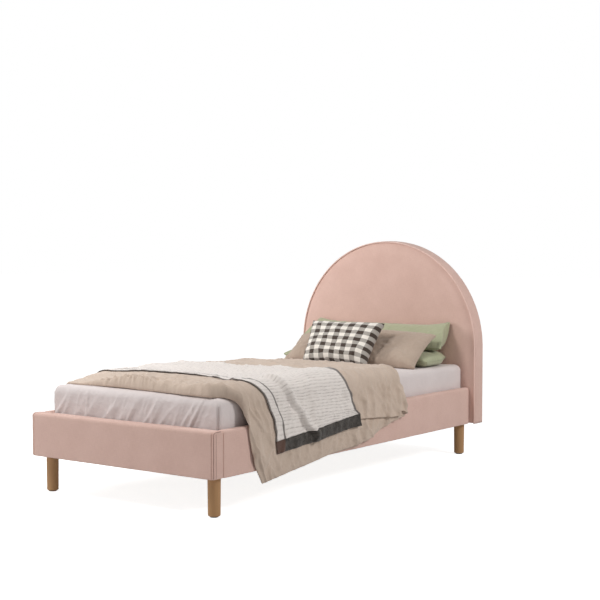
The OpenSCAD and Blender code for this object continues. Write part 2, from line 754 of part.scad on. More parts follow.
// Shares of the way between two edges, finer at both edges
function shares(length, edges, count) = concat(
    [for (e = edges) e / length],
    let (e = edges[len(edges) - 1] / length) [for (k = [1:count]) blend(e, 1 - e, k / (count + 1))],
    [for (i = [len(edges) - 1:-1:0]) 1 - edges[i] / length]);

module duvet() {
    rim = 3;
    r = 26;
    cols = shares(duvet_end - duvet_start, [0, 8, r], 13);
    left = down_to(duvet_left_z);
    right = down_to(duvet_hem_z);
    grid = [for (s = rows(left, right, 3, 14)) [for (q = cols)
        let (y = duvet_y(s, q),
             over = s > s4 ? (s - s4) / (right - s4) : 0,
             t = s - over * duvet_hem_rise * lookup(y - foot_y, duvet_rise_line),
             gap = min(y - duvet_y(s, 0), duvet_y(s, 1) - y, 1e4),
             hem_gap = s < 0 ? left + s : right - s,
             full = duvet_depth(t, y),
             depth = round_off(round_off(full, rim, gap, r), rim, hem_gap, 14),
             lift = fold(t, y) + 0.22 * max(0, full - depth))
        [lay(t, y, lift + depth), lay(t, y, lift)]]];
    color("tan") thick_grid([for (row = grid) [for (p = row) p[0]]], [for (row = grid) [for (p = row) p[1]]]);
}

// The top end of the duvet folded back towards the foot, lying on the duvet
module duvet_turn_back() {
    rim = 3;
    r = 20;
    cols = shares(duvet_end - turn_start, [0, 8, r], 5);
    hem = down_to(turn_hem_z);
    grid = [for (s = rows(hem, hem, 1, 12)) [for (q = cols)
        let (y = turn_y(s, q),
             gap = min(y - turn_y(s, 0), turn_y(s, 1) - y),
             over = s > s4 ? (s - s4) / (hem - s4) : 0,
             t = s + over * turn_hem_fall * share(y, turn_start + 240, turn_start + 500),
             depth = round_off(round_off(turn_depth(t, y), rim, gap, r), rim, hem - abs(s), 12),
             lift = fold(t, y) + duvet_depth(t, y) + drape_gap)
        [lay(t, y, lift + depth), lay(t, y, lift)]]];
    color("tan") thick_grid([for (row = grid) [for (p = row) p[0]]], [for (row = grid) [for (p = row) p[1]]]);
}

// The throw lies on the duvet and climbs onto the part that is turned back
function throw_lift(s, y) = fold(s, y) + duvet_depth(s, y) + drape_gap
    + (turn_depth(s, y) + drape_gap) * ease((y - turn_start + 190) / 100);
throw_left = down_to(throw_left_z);
throw_right = down_to(throw_hem_z);
throw_cols = shares(throw_w, [0, 14], 8);
// Lets the hem of the right side rise towards the head, with its band in one width
function throw_s(s, q) = s - throw_hem_rise * q * share(s, s4, throw_right - band_w);

module throw_piece(stations) {
    grid = [for (s = stations) [for (q = throw_cols)
        let (y = throw_y(s, q), t = throw_s(s, q), lift = throw_lift(t, y))
        [lay(t, y, lift + throw_t), lay(t, y, lift)]]];
    thick_grid([for (row = grid) [for (p = row) p[0]]], [for (row = grid) [for (p = row) p[1]]]);
}

module throw() {
    color("lightgray") throw_piece(rows(throw_left - band_w - slip, throw_right - band_w - slip, 1, 0));
}

module throw_bands() {
    color("dimgray") {
        throw_piece([for (k = [0:2]) -throw_left + band_w * k / 2]);
        throw_piece([for (k = [0:2]) throw_right - band_w + band_w * k / 2]);
    }
}

// Round shares from -1 to 1, closer together at the ends
function spread(n) = [for (k = [0:n]) -cos(180 * k / n)];

// A filled pillow lying in its own plane: the sides are drawn in between pointed corners, and it
// gets narrower towards the end it stands on
module pillow(w, d, front, back, drawn = 0.04, power = 4, cols = 12, lines = 10, narrow = 0) {
    rim = 2;
    function at(u, v) = [w / 2 * u * (1 - drawn * (1 - v * v)) * (1 - narrow * (1 - v) / 2),
                         d / 2 * v * (1 - 1.6 * drawn * (1 - u * u))];
    function crown(u, v) = sqrt((1 - pow(abs(u), power)) * (1 - pow(abs(v), power)));
    thick_grid(
        [for (u = spread(cols)) [for (v = spread(lines))
            [each at(u, v), rim / 2 + front(u, v) * crown(u, v)]]],
        [for (u = spread(cols)) [for (v = spread(lines))
            [each at(u, v), -rim / 2 - back(u, v) * crown(u, v)]]]);
}

pillow_back_y = head_y - 8;

// The lower pillow lies flat and is pressed flat above and below
module green_pillow_lower() {
    h = green_low_h;
    z = sheet_top + slip;
    y = pillow_back_y - green_low_d / 2;
    seam = 0.4;
    grid = [for (u = spread(12)) [for (v = spread(10))
        let (x = green_w / 2 * u * (1 - 0.02 * (1 - v * v)) * (1 - 0.15 * ease(v)),
             low = sqrt((1 - pow(u, 8)) * (1 - pow(v, 6))),
             high = sqrt((1 - pow(u, 6)) * (1 - pow(abs(v), v < 0 ? 2 : 6))))
        [[x, y + green_low_d / 2 * v, z + 1 + h * (seam + (0.98 - seam) * high)],
         [x, y + green_low_d / 2 * v, z + h * seam * (1 - low)]]]];
    color("darkseagreen")
        thick_grid([for (row = grid) [for (p = row) p[0]]], [for (row = grid) [for (p = row) p[1]]]);
}

// The upper pillow is flat below, and its far edge is pushed up against the headboard
module green_pillow_upper() {
    floor_z = sheet_top + slip + 1 + 0.98 * green_low_h + slip;
    y0 = pillow_back_y - 5 - green_up_d;
    grid = [for (u = spread(12)) [for (v = spread(10))
        let (t = (v + 1) / 2,
             x = green_w / 2 * u * (1 - 0.03 * (1 - v * v)) * (1 - 0.085 * ease(t)),
             y = y0 + green_up_d * t,
             rim = floor_z + blend(14, green_up_h, sin(90 * t)) + 22 * pow(u, 6) * t,
             crown = sqrt((1 - pow(u, 6)) * (1 - pow(v, 4))),
             low = sqrt((1 - pow(u, 6)) * (1 - pow(v, 10))))
        [[x, y, rim + 1 + 9 * crown], [x, y, blend(rim - 1, floor_z, low)]]]];
    color("darkseagreen")
        thick_grid([for (row = grid) [for (p = row) p[0]]], [for (row = grid) [for (p = row) p[1]]]);
}

module beige_pillow() {
    color("burlywood")
        translate([12, head_y - 384, sheet_top + 7])
        rotate([beige_lean, 0, 0])
        translate([0, beige_d / 2, 0])
        pillow(beige_w, beige_d,
            function(u, v) 60 - 22 * (1 - ease((abs(u) - 0.4) / 0.4)) * ease((0.9 - v) / 0.5),
            function(u, v) 21 - 4 * v, 0.03, 4, 14, 10);
}

module checked_cushion() {
    color("antiquewhite")
        translate([-5, head_y - 459, sheet_top + 9])
        rotate([check_lean, 0, 0])
        translate([0, check_d / 2, 0])
        pillow(check_w, check_d, function(u, v) 60, function(u, v) 40 - 6 * v, 0.05, 4, 14, 12, 0.13);
}

headboard_frame();
headboard_rails();
headboard_face();
headboard_pad();
headboard_border();
headboard_piping();
headboard_back();
foot_board();
foot_cover();
rail_board(-1);  // rail_board_left
rail_board(1);  // rail_board_right
rail_cover(-1);  // rail_cover_left
rail_cover(1);  // rail_cover_right
ledger(-1);  // ledger_left
ledger(1);  // ledger_right
corner_block(-1, 0);  // corner_block_foot_left
corner_block(1, 0);  // corner_block_foot_right
corner_block(-1, 1);  // corner_block_head_left
corner_block(1, 1);  // corner_block_head_right
leg(-1, 0);  // leg_foot_left
leg(1, 0);  // leg_foot_right
leg(-1, 1);  // leg_head_left
leg(1, 1);  // leg_head_right
leg_plates();
leg_bolts();
leg_glides();
rail_bolts();
end_bolts();
threaded_inserts();
slat_holders(-1);  // slat_holders_left
slat_holders(1);  // slat_holders_right
for (i = [1:slat_n]) slat(i);
mattress();
fitted_sheet();
duvet();
duvet_turn_back();
throw();
throw_bands();
green_pillow_lower();
green_pillow_upper();
beige_pillow();
checked_cushion();
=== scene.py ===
"""Upholstered junior bed with an arched headboard, modelled and finished for Blender."""

import logging
import math
from dataclasses import dataclass, field
from enum import Enum
from itertools import product
from typing import Callable, Sequence

import bmesh
import bpy
import numpy as np
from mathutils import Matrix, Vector


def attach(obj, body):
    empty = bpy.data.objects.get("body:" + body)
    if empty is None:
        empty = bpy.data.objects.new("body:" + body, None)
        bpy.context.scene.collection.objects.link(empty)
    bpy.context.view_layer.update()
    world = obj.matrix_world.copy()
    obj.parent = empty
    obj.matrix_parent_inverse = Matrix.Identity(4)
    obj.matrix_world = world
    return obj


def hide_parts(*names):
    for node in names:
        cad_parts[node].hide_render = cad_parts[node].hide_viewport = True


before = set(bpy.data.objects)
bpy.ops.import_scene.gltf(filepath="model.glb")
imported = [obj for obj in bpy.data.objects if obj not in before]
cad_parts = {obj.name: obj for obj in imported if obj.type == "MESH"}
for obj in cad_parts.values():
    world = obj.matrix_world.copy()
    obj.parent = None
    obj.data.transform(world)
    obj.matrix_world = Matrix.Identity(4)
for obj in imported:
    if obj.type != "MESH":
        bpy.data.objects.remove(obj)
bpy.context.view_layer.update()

log = logging.getLogger("junior_bed")
Array = np.ndarray
Number = float | int
Colour = tuple[float, float, float]
Box = tuple[Sequence[float], Sequence[float]]
Socket = bpy.types.NodeSocket
Piece = bpy.types.Object
MM = 0.001


def srgb(red: int, green: int, blue: int) -> Colour:
    """Turns a colour as seen on a screen, 0 to 255, into the shader's linear values.

    Args:
        red: Red part.
        green: Green part.
        blue: Blue part.

    Returns:
        The linear colour.
    """
    channels = [c / 255 for c in (red, green, blue)]
    linear = [c / 12.92 if c <= 0.04045 else ((c + 0.055) / 1.055) ** 2.4 for c in channels]
    return linear[0], linear[1], linear[2]


def ease(t: Array) -> Array:
    """A smooth step from 0 to 1."""
    c = np.clip(t, 0.0, 1.0)
    return c * c * (3 - 2 * c)


def blend(a: Array, b: Array, t: Array) -> Array:
    """Goes from a to b as t goes from 0 to 1."""
    return a + (b - a) * t


def sind(degrees: Array) -> Array:
    """The sine of an angle in degrees."""
    return np.sin(np.radians(degrees))


def cosd(degrees: Array) -> Array:
    """The cosine of an angle in degrees."""
    return np.cos(np.radians(degrees))


def run_along(line: Array) -> Array:
    """The distance run along a line of points up to each of them."""
    return np.concatenate([[0], np.cumsum(np.linalg.norm(np.diff(line, axis=0), axis=1))])


def joined(*parts: Array) -> Array:
    """Points from their coordinates, spread to one shape."""
    return np.stack(np.broadcast_arrays(*parts), -1)


def outline(arcs: Sequence[tuple[float, float, float, float]], turns: int,
            steps: Callable[[int, float], int]) -> tuple[Array, Array]:
    """Goes counterclockwise round a closed line of quarter circles with straight runs between them.

    Args:
        arcs: Middle, radius and first angle of each quarter circle.
        turns: Number of points on each of them.
        steps: Number of steps in a straight run, from its number and its length.

    Returns:
        The points, and the way outwards at each.
    """
    points, out = [], []
    for q, (x, y, r, start) in enumerate(arcs):
        end = start + 90
        for a in np.linspace(start, end, turns):
            points.append((x + r * cosd(a), y + r * sind(a)))
            out.append((cosd(a), sind(a)))
        next_x, next_y, next_r, _ = arcs[(q + 1) % len(arcs)]
        here = np.array(points[-1])
        there = np.array((next_x + next_r * cosd(end), next_y + next_r * sind(end)))
        count = steps(q, float(np.linalg.norm(there - here)))
        for t in np.linspace(0, 1, count + 1)[1:-1]:
            points.append(tuple(here + (there - here) * t))
            out.append((cosd(end), sind(end)))
    return np.array(points), np.array(out)


def dome(u: Array, v: Array, across: Array, along: Array) -> Array:
    """Height over shares from -1 to 1: 1 in the middle, 0 at the rim, boxier for higher powers."""
    return np.sqrt(np.clip((1 - u ** across) * (1 - v ** along), 0, 1))


def add_object(name: str, data: bpy.types.ID) -> Piece:
    """Makes an object and puts it into the scene.

    Args:
        name: Name of the object.
        data: Its mesh, camera or lamp.

    Returns:
        The new object.
    """
    made = bpy.data.objects.new(name, data)
    bpy.context.scene.collection.objects.link(made)
    return made


class Ripple:
    """Smooth repeatable noise over a plane, from about -1 to 1, that shapes creases in cloth."""

    def __init__(self, seed: int) -> None:
        """Draws the lattice of slopes.

        Args:
            seed: Number that the pattern follows from.
        """
        turn = np.random.default_rng(seed).uniform(0, 2 * math.pi, (128, 128))
        self.slope = np.cos(turn), np.sin(turn)

    def __call__(self, x: Array, y: Array) -> Array:
        """Gives the height at points of the plane.

        Args:
            x: First coordinate, one unit from bump to bump.
            y: Second coordinate.

        Returns:
            Heights of the same shape.
        """
        x, y = np.broadcast_arrays(np.asarray(x, float), np.asarray(y, float))
        col, row = np.floor(x).astype(int), np.floor(y).astype(int)
        dx, dy = x - col, y - row
        u, v = (d * d * d * (d * (d * 6 - 15) + 10) for d in (dx, dy))

        def corner(i: int, j: int) -> Array:
            """What the slope at one corner of the lattice's square gives at each point."""
            at = (col + i) & 127, (row + j) & 127
            return self.slope[0][at] * (dx - i) + self.slope[1][at] * (dy - j)

        low, high = (blend(corner(0, j), corner(1, j), u) for j in (0, 1))
        return 1.5 * blend(low, high, v)

    def swell(self, x: Array, y: Array, height: float, pitch: tuple[float, float],
              shift: tuple[float, float] = (0.0, 0.0)) -> Array:
        """Smooth bumps, with the distance between them both ways, from a place in the pattern."""
        return height * self(x / pitch[0] + shift[0], y / pitch[1] + shift[1])

    def crease(self, x: Array, y: Array, height: float, pitch: tuple[float, float],
               width: float = 0.16, shift: tuple[float, float] = (0.0, 0.0)) -> Array:
        """Raised lines that wander and branch, with a width that is a share of their pitch."""
        return height * np.exp(-((self.swell(x, y, 1.0, pitch, shift) / width) ** 2))


@dataclass(frozen=True)
class BedSizes:
    """Main sizes of the bed in millimetres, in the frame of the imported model."""

    foot_y: float = -1025.0
    inner_y: float = -968.0
    head_y: float = 939.0
    back_y: float = 1025.0
    frame_w: float = 1000.0
    inner_w: float = 932.0
    leg_h: float = 155.0
    rail_z: float = 335.0
    rail_h: float = 180.0
    side_t: float = 34.0
    rail_board_t: float = 20.0
    foot_t: float = 57.0
    foot_pad_t: float = 15.0
    foot_board_t: float = 24.0
    top_pad_t: float = 8.0
    cloth_t: float = 2.0
    return_h: float = 45.0
    head_r: float = 530.0
    arch_z: float = 536.0
    head_t: float = 86.0
    head_pad_t: float = 30.0
    head_crown: float = 8.0
    border_t: float = 3.0
    piping_d: float = 7.0
    block_mid_x: float = 423.0
    block_w: float = 86.0
    block_top: float = 220.9
    mattress_z: float = 245.0
    mattress_h: float = 200.0
    mattress_w: float = 915.0
    mattress_l: float = 1875.0
    sheet_top: float = 447.5
    sheet_w: float = 920.0
    sheet_l: float = 1880.0
    sheet_y: float = -945.0
    sheet_t: float = 2.2
    slip: float = 0.3


BED = BedSizes()


class Modeller:
    """Turns grids of points in millimetres into Blender objects in metres."""

    @staticmethod
    def piece(name: str, points: Array, faces: Sequence[Sequence[int]],
              uv: Array | None = None) -> Piece:
        """Makes one mesh object with merged points and faces that look outwards.

        Args:
            name: Name of the object.
            points: Points of the mesh, one row each, in millimetres.
            faces: Indices of the points of each face.
            uv: Place of each point on the cloth, in millimetres.

        Returns:
            The new object.
        """
        mesh = bpy.data.meshes.new(name)
        mesh.from_pydata((points * MM).tolist(), [], [list(map(int, f)) for f in faces])
        if uv is not None:
            layer = mesh.uv_layers.new(name="cloth")
            index = np.zeros(len(mesh.loops), int)
            mesh.loops.foreach_get("vertex_index", index)
            layer.data.foreach_set("uv", (uv[index] * MM).astype(np.float32).ravel())
        work = bmesh.new()
        work.from_mesh(mesh)
        bmesh.ops.remove_doubles(work, verts=work.verts, dist=0.00002)
        bmesh.ops.dissolve_degenerate(work, edges=work.edges, dist=0.000001)
        bmesh.ops.recalc_face_normals(work, faces=work.faces)
        work.to_mesh(mesh)
        work.free()
        mesh.polygons.foreach_set("use_smooth", np.ones(len(mesh.polygons), bool))
        return add_object(name, mesh)

    @staticmethod
    def grid_faces(rows: int, cols: int, wrap: bool = False) -> Array:
        """Indices of the squares of a grid of points.

        Args:
            rows: Number of rows of points.
            cols: Number of points in a row.
            wrap: Whether each row closes on itself.

        Returns:
            Four indices for each square.
        """
        row, col = np.mgrid[:rows - 1, :cols if wrap else cols - 1]
        a, b = row * cols + col, row * cols + (col + 1) % cols
        return np.stack([a, b, b + cols, a + cols], -1).reshape(-1, 4)

    @classmethod
    def shell(cls, name: str, outer: Array, inner: Array, uv: Array, meets: bool = False) -> Piece:
        """Makes a closed skin between an outer and an inner grid.

        Args:
            name: Name of the object.
            outer: Points of the outer side, rows by columns by 3.
            inner: Points of the inner side, of the same shape.
            uv: Place of each point on the cloth, rows by columns by 2.
            meets: Whether the last column folds onto itself, so that it needs no rim.

        Returns:
            The new object.
        """
        rows, cols = outer.shape[:2]
        half = rows * cols
        faces = cls.grid_faces(rows, cols)
        ring = np.concatenate([
            np.arange(cols), np.arange(1, rows) * cols + cols - 1,
            (rows - 1) * cols + np.arange(cols - 2, -1, -1), np.arange(rows - 2, 0, -1) * cols,
        ])
        after = np.roll(ring, -1)
        rim = np.stack([ring, ring + half, after + half, after], -1)
        if meets:
            rim = rim[(rim[:, 0] % cols != cols - 1) | (rim[:, 3] % cols != cols - 1)]
        points = np.concatenate([outer.reshape(-1, 3), inner.reshape(-1, 3)])
        both = np.concatenate([uv.reshape(-1, 2)] * 2)
        return cls.piece(name, points, np.concatenate([faces, faces[:, ::-1] + half, rim]), both)

    @classmethod
    def tube(cls, name: str, path: Array, radius: float, sides: int) -> Piece:
        """Makes a round cord along a path, closed at both ends.

        Args:
            name: Name of the object.
            path: Points along the middle of the cord.
            radius: Radius of the cord.
            sides: Number of points round it.

        Returns:
            The new object.
        """
        along = np.gradient(path, axis=0)
        along /= np.linalg.norm(along, axis=1)[:, None]
        helper = np.where(np.abs(along[:, 1:2]) < 0.8, [[0.0, 1.0, 0.0]], [[1.0, 0.0, 0.0]])
        side = np.cross(along, helper)
        side /= np.linalg.norm(side, axis=1)[:, None]
        up = np.cross(side, along)
        turn = np.linspace(0, 2 * math.pi, sides, endpoint=False)
        ring = path[:, None] + radius * (
            side[:, None] * np.cos(turn)[None, :, None] + up[:, None] * np.sin(turn)[None, :, None])
        run = run_along(path)
        uv = joined(run[:, None], (turn * radius)[None, :])
        faces = cls.grid_faces(len(path), sides, wrap=True).tolist()
        faces += [list(range(sides)), list(range((len(path) - 1) * sides, len(path) * sides))]
        return cls.piece(name, ring.reshape(-1, 3), faces, uv.reshape(-1, 2))

    @staticmethod
    def apply(piece: Piece) -> None:
        """Makes the result of all modifiers the piece's own mesh.

        Args:
            piece: The piece to change.
        """
        graph = bpy.context.evaluated_depsgraph_get()
        graph.update()
        mesh = bpy.data.meshes.new_from_object(piece.evaluated_get(graph))
        old = piece.data
        piece.modifiers.clear()
        piece.data = mesh
        mesh.name = piece.name
        bpy.data.meshes.remove(old)

    @classmethod
    def carve(cls, piece: Piece, boxes: Sequence[Box]) -> None:
        """Takes boxes out of a piece, as pockets for the timber inside it.

        Args:
            piece: The piece to hollow out.
            boxes: Lowest and highest corner of each box, in millimetres.
        """
        sides = [(0, 1, 3, 2), (4, 6, 7, 5), (0, 4, 5, 1), (2, 3, 7, 6), (0, 2, 6, 4), (1, 5, 7, 3)]
        tools = []
        for low, high in boxes:
            tool = cls.piece("pocket", np.array(list(product(*zip(low, high))), float), sides)
            cut = piece.modifiers.new("pocket", "BOOLEAN")
            cut.operation, cut.solver, cut.object = "DIFFERENCE", "EXACT", tool
            tools.append(tool)
        cls.apply(piece)
        for tool in tools:
            mesh = tool.data
            bpy.data.objects.remove(tool)
            bpy.data.meshes.remove(mesh)
        piece.data.set_sharp_from_angle(angle=math.radians(50))


class Field:
    """A number that varies over a surface, and takes part in sums as numbers do."""

    def __init__(self, paint: "Paint", socket: Socket) -> None:
        """Keeps the socket that gives the number."""
        self.paint, self.socket = paint, socket

    def math(self, operation: str, *others: "Field | Number",
             first: Number | None = None) -> "Field":
        """Adds one Math node.

        Args:
            operation: Name of the operation.
            others: Operands after this one.
            first: Operand before this one, for reflected forms.

        Returns:
            The result.
        """
        values = ([] if first is None else [first]) + [self, *others]
        node = self.paint.node("Math", {"operation": operation}, dict(enumerate(values)))
        return Field(self.paint, node.outputs[0])

    def __add__(self, other: "Field | Number") -> "Field":
        """Sum."""
        return self.math("ADD", other)

    __radd__ = __add__

    def __mul__(self, other: "Field | Number") -> "Field":
        """Product."""
        return self.math("MULTIPLY", other)

    __rmul__ = __mul__

    def __sub__(self, other: "Field | Number") -> "Field":
        """Difference."""
        return self.math("SUBTRACT", other)

    def __rsub__(self, other: Number) -> "Field":
        """Difference from a number."""
        return self.math("SUBTRACT", first=other)

    def __truediv__(self, other: "Field | Number") -> "Field":
        """Quotient."""
        return self.math("DIVIDE", other)

    def __pow__(self, other: Number) -> "Field":
        """Power."""
        return self.math("POWER", other)

    def __abs__(self) -> "Field":
        """Size without its sign."""
        return self.math("ABSOLUTE")

    def sin(self) -> "Field":
        """Sine of the value in radians."""
        return self.math("SINE")

    def fract(self) -> "Field":
        """What is left above the whole number."""
        return self.math("FRACT")

    def top(self, other: "Field | Number") -> "Field":
        """The larger of two values."""
        return self.math("MAXIMUM", other)

    def low(self, other: "Field | Number") -> "Field":
        """The smaller of two values."""
        return self.math("MINIMUM", other)

    def step(self, start: Number, end: Number) -> "Field":
        """A soft step from 0 at start to 1 at end.

        Args:
            start: Value where the step starts.
            end: Value where it ends.

        Returns:
            The step.
        """
        kind = {"interpolation_type": "SMOOTHSTEP"}
        node = self.paint.node("MapRange", kind, {0: self, 1: start, 2: end})
        return Field(self.paint, node.outputs[0])

    def band(self, middle: Number, half: Number) -> "Field":
        """A soft line, 1 at the middle value and 0 at a distance of half."""
        return 1.0 - abs(self - middle).step(half * 0.4, half)


class Paint:
    """The node tree of a material or a world, and short ways of adding its nodes."""

    def __init__(self, owner: bpy.types.Material | bpy.types.World) -> None:
        """Empties the owner's node tree.

        Args:
            owner: Material or world that has the tree.
        """
        owner.use_nodes = True
        self.tree = owner.node_tree
        self.tree.nodes.clear()
        self.sources: dict[str, bpy.types.Node] = {}

    def node(self, kind: str, settings: dict | None = None,
             inputs: dict | None = None) -> bpy.types.Node:
        """Adds a node.

        Args:
            kind: Type of the node, without its prefix.
            settings: Its own settings, which are set first.
            inputs: Value, field or socket for each input, by name or place.

        Returns:
            The new node.
        """
        node = self.tree.nodes.new("ShaderNode" + kind)
        for key, value in (settings or {}).items():
            setattr(node, key, value)
        for key, value in (inputs or {}).items():
            socket = node.inputs[key]
            if isinstance(value, (Field, Socket)):
                self.tree.links.new(value.socket if isinstance(value, Field) else value, socket)
            elif socket.type == "RGBA":
                socket.default_value = (*value, 1)
            else:
                socket.default_value = value
        return node

    def place(self, source: str = "UV") -> Socket:
        """Coordinates in metres, from one node for each source.

        Args:
            source: UV for the place on the cloth, or Object for the one in the bed's frame.

        Returns:
            The coordinates.
        """
        if source not in self.sources:
            self.sources[source] = self.node("TexCoord")
        return self.sources[source].outputs[source]

    def cloth(self) -> tuple[Socket, Field, Field]:
        """The cloth map in metres, whole and as two fields.

        Returns:
            The map as a vector, and its two parts.
        """
        place = self.place("UV")
        u, v, _ = self.axes(place)
        return place, u, v

    def axes(self, vector: Socket) -> tuple[Field, Field, Field]:
        """Splits a vector into three fields."""
        x, y, z = (Field(self, out) for out in self.node("SeparateXYZ", None, {0: vector}).outputs)
        return x, y, z

    def noise(self, place: Socket, scale: Number, detail: Number = 2, rough: Number = 0.5) -> Field:
        """Noise from 0 to 1.

        Args:
            place: Coordinates in metres.
            scale: Bumps per metre.
            detail: Number of finer layers.
            rough: Strength of each finer layer.

        Returns:
            The noise.
        """
        node = self.node("TexNoise", None, {
            "Vector": place, "Scale": scale, "Detail": detail, "Roughness": rough})
        return Field(self, node.outputs[0])

    def stretched(self, place: Socket, scales: Sequence[Number], detail: Number = 2) -> Field:
        """Noise with its own scale on each axis, for grain and threads.

        Args:
            place: Coordinates in metres.
            scales: Bumps per metre on each axis.
            detail: Number of finer layers.

        Returns:
            Noise from 0 to 1.
        """
        scaled = [axis * scale for axis, scale in zip(self.axes(place), scales)]
        vector = self.node("CombineXYZ", None, dict(enumerate(scaled))).outputs[0]
        return self.noise(vector, scale=1.0, detail=detail)

    def mix(self, a: Colour | Socket, b: Colour | Socket, share: Field | Number) -> Socket:
        """Goes from colour a to colour b as the share goes from 0 to 1."""
        return self.node("Mix", {"data_type": "RGBA"}, {0: share, 6: a, 7: b}).outputs[2]

    def rays(self, *kinds: str) -> Field:
        """1 for rays of these kinds, and else 0.

        Args:
            kinds: Kinds of rays, such as Camera.

        Returns:
            The field.
        """
        outputs = self.node("LightPath").outputs
        seen, *others = (Field(self, outputs[f"Is {kind} Ray"]) for kind in kinds)
        for other in others:
            seen = seen.top(other)
        return seen

    def weave(self, u: Field, v: Field, pitch: float) -> Field:
        """Height of a plain weave, in which yarns go over and under each other.

        Args:
            u: Place across the warp, in metres.
            v: Place across the weft, in metres.
            pitch: Distance between yarns, in metres.

        Returns:
            Height from 0 to 1.
        """
        warp, weft = u * (math.pi / pitch), v * (math.pi / pitch)
        over = (warp + math.pi / 2).sin() * (weft + math.pi / 2).sin() * 0.45
        return (abs(warp.sin()) * (over + 0.55)).top(abs(weft.sin()) * (0.55 - over))

    def bump(self, height: Field, depth: float, under: Socket | None = None) -> Socket:
        """Bends the normal, or one under it, by a height from 0 to 1 and a depth in metres."""
        inputs = {"Height": height, "Distance": depth, "Strength": 1.0}
        return self.node("Bump", None, inputs | ({"Normal": under} if under else {})).outputs[0]

    def surface(self, colour: Colour | Socket, roughness: Field | Number,
                normal: Socket, **numbers: Number) -> None:
        """Ends the material with its shader.

        Args:
            colour: Base colour.
            roughness: Roughness.
            normal: Bent normal.
            numbers: Other inputs of the shader that are the same all over, with _ for a space.
        """
        shader = self.node("BsdfPrincipled", None, {
            "Base Color": colour, "Roughness": roughness, "Normal": normal,
            **{key.replace("_", " "): value for key, value in numbers.items()}})
        self.node("OutputMaterial", None, {"Surface": shader.outputs[0]})


@dataclass(frozen=True)
class Finish:
    """A surface finish in a light and a dark tone. Each kind paints its own material."""

    name: str
    light: Colour
    dark: Colour

    def paint(self, p: Paint) -> None:
        """Adds the material's nodes."""
        raise NotImplementedError

    def material(self) -> bpy.types.Material:
        """The material, made the first time it is asked for.

        Returns:
            The material.
        """
        made = bpy.data.materials.get(self.name)
        if made is None:
            made = bpy.data.materials.new(self.name)
            self.paint(Paint(made))
        return made


@dataclass(frozen=True)
class WovenCloth(Finish):
    """Plain woven cloth with uneven yarns, on pieces that carry a cloth map, with patches of
    painted shade where depth is set.
    """

    pitch: float = 0.0016
    relief: float = 0.0005
    slub: float = 0.5
    crumple: float = 0.0
    roughness: float = 0.9
    sheen: float = 0.25
    # depth: share of painted shade, darker patches that stand in for shade among the cloth's
    # creases
    depth: float = 0.0

    def paint(self, p: Paint) -> None:
        """Adds the material's nodes.

        Args:
            p: Node tree of the material.
        """
        place, u, v = p.cloth()
        weave = p.weave(u, v, pitch=self.pitch)
        across = p.stretched(place, (1 / (self.pitch * 14), 1 / self.pitch, 1))
        along = p.stretched(place, (1 / self.pitch, 1 / (self.pitch * 14), 1))
        cloud = p.noise(place, scale=9.0, detail=3)
        yarn = (across + along) * 0.5
        tone = (yarn - 0.5) * (1.6 * self.slub) + (weave - 0.5) * 0.35 + (cloud - 0.5) * 0.5 + 0.5
        colour = p.mix(self.dark, self.light, tone.step(-0.1, 1.1))
        normal = p.bump(weave * 0.7 + yarn * 0.6, depth=self.relief)
        if self.crumple:
            ridges = (abs(p.noise(place, scale, detail) - 0.5) * -4.0 + 1.0
                      for scale, detail in ((13.0, 2), (34.0, 3)))
            broad, fine = (ridge.top(0.0) ** 2 for ridge in ridges)
            normal = p.bump(broad + fine * 0.45, depth=self.crumple, under=normal)
        # Painted shade: where the cloud noise is low, the colour is pulled towards the dark tone to
        # stand in for the shade among the creases.
        if self.depth:
            colour = p.mix(colour, self.dark, (0.45 - cloud).step(0.0, 0.3) * self.depth)
        rough = (yarn - 0.5) * 0.12 + self.roughness
        p.surface(colour, rough, normal, Sheen_Weight=self.sheen, Sheen_Roughness=0.5, IOR=1.45,
                  Specular_IOR_Level=0.15)


@dataclass(frozen=True)
class Gingham(Finish):
    """Checked cotton: dark stripes both ways, half-tone where only one of them runs."""

    across: float
    along: float

    def paint(self, p: Paint) -> None:
        """Adds the material's nodes.

        Args:
            p: Node tree of the material.
        """
        place, u, v = p.cloth()
        wander = p.noise(place, scale=14.0, detail=1) - 0.5
        warp = ((u + wander * 0.006) / self.across).fract()
        weft = ((v + wander * 0.006) / self.along).fract()
        column = abs(warp - 0.5).step(0.23, 0.27)
        row = abs(weft - 0.5).step(0.23, 0.27)
        twill = ((u + v) * (math.pi / 0.0022)).sin() * 0.5 + 0.5
        thread = p.weave(u, v, pitch=0.0011)
        shade = (column + row) * 0.5
        half = 1.0 - abs(shade - 0.5) * 2.0
        share = shade + (twill - 0.5) * half * 0.35 + (thread - 0.5) * 0.08
        colour = p.mix(self.light, self.dark, share.top(0.0).low(1.0) ** 0.8)
        crumple = p.bump(p.noise(place, scale=34.0, detail=3, rough=0.6), depth=0.0012)
        normal = p.bump(thread, depth=0.0003, under=crumple)
        p.surface(colour, roughness=0.88, normal=normal, Sheen_Weight=0.15, Specular_IOR_Level=0.3)


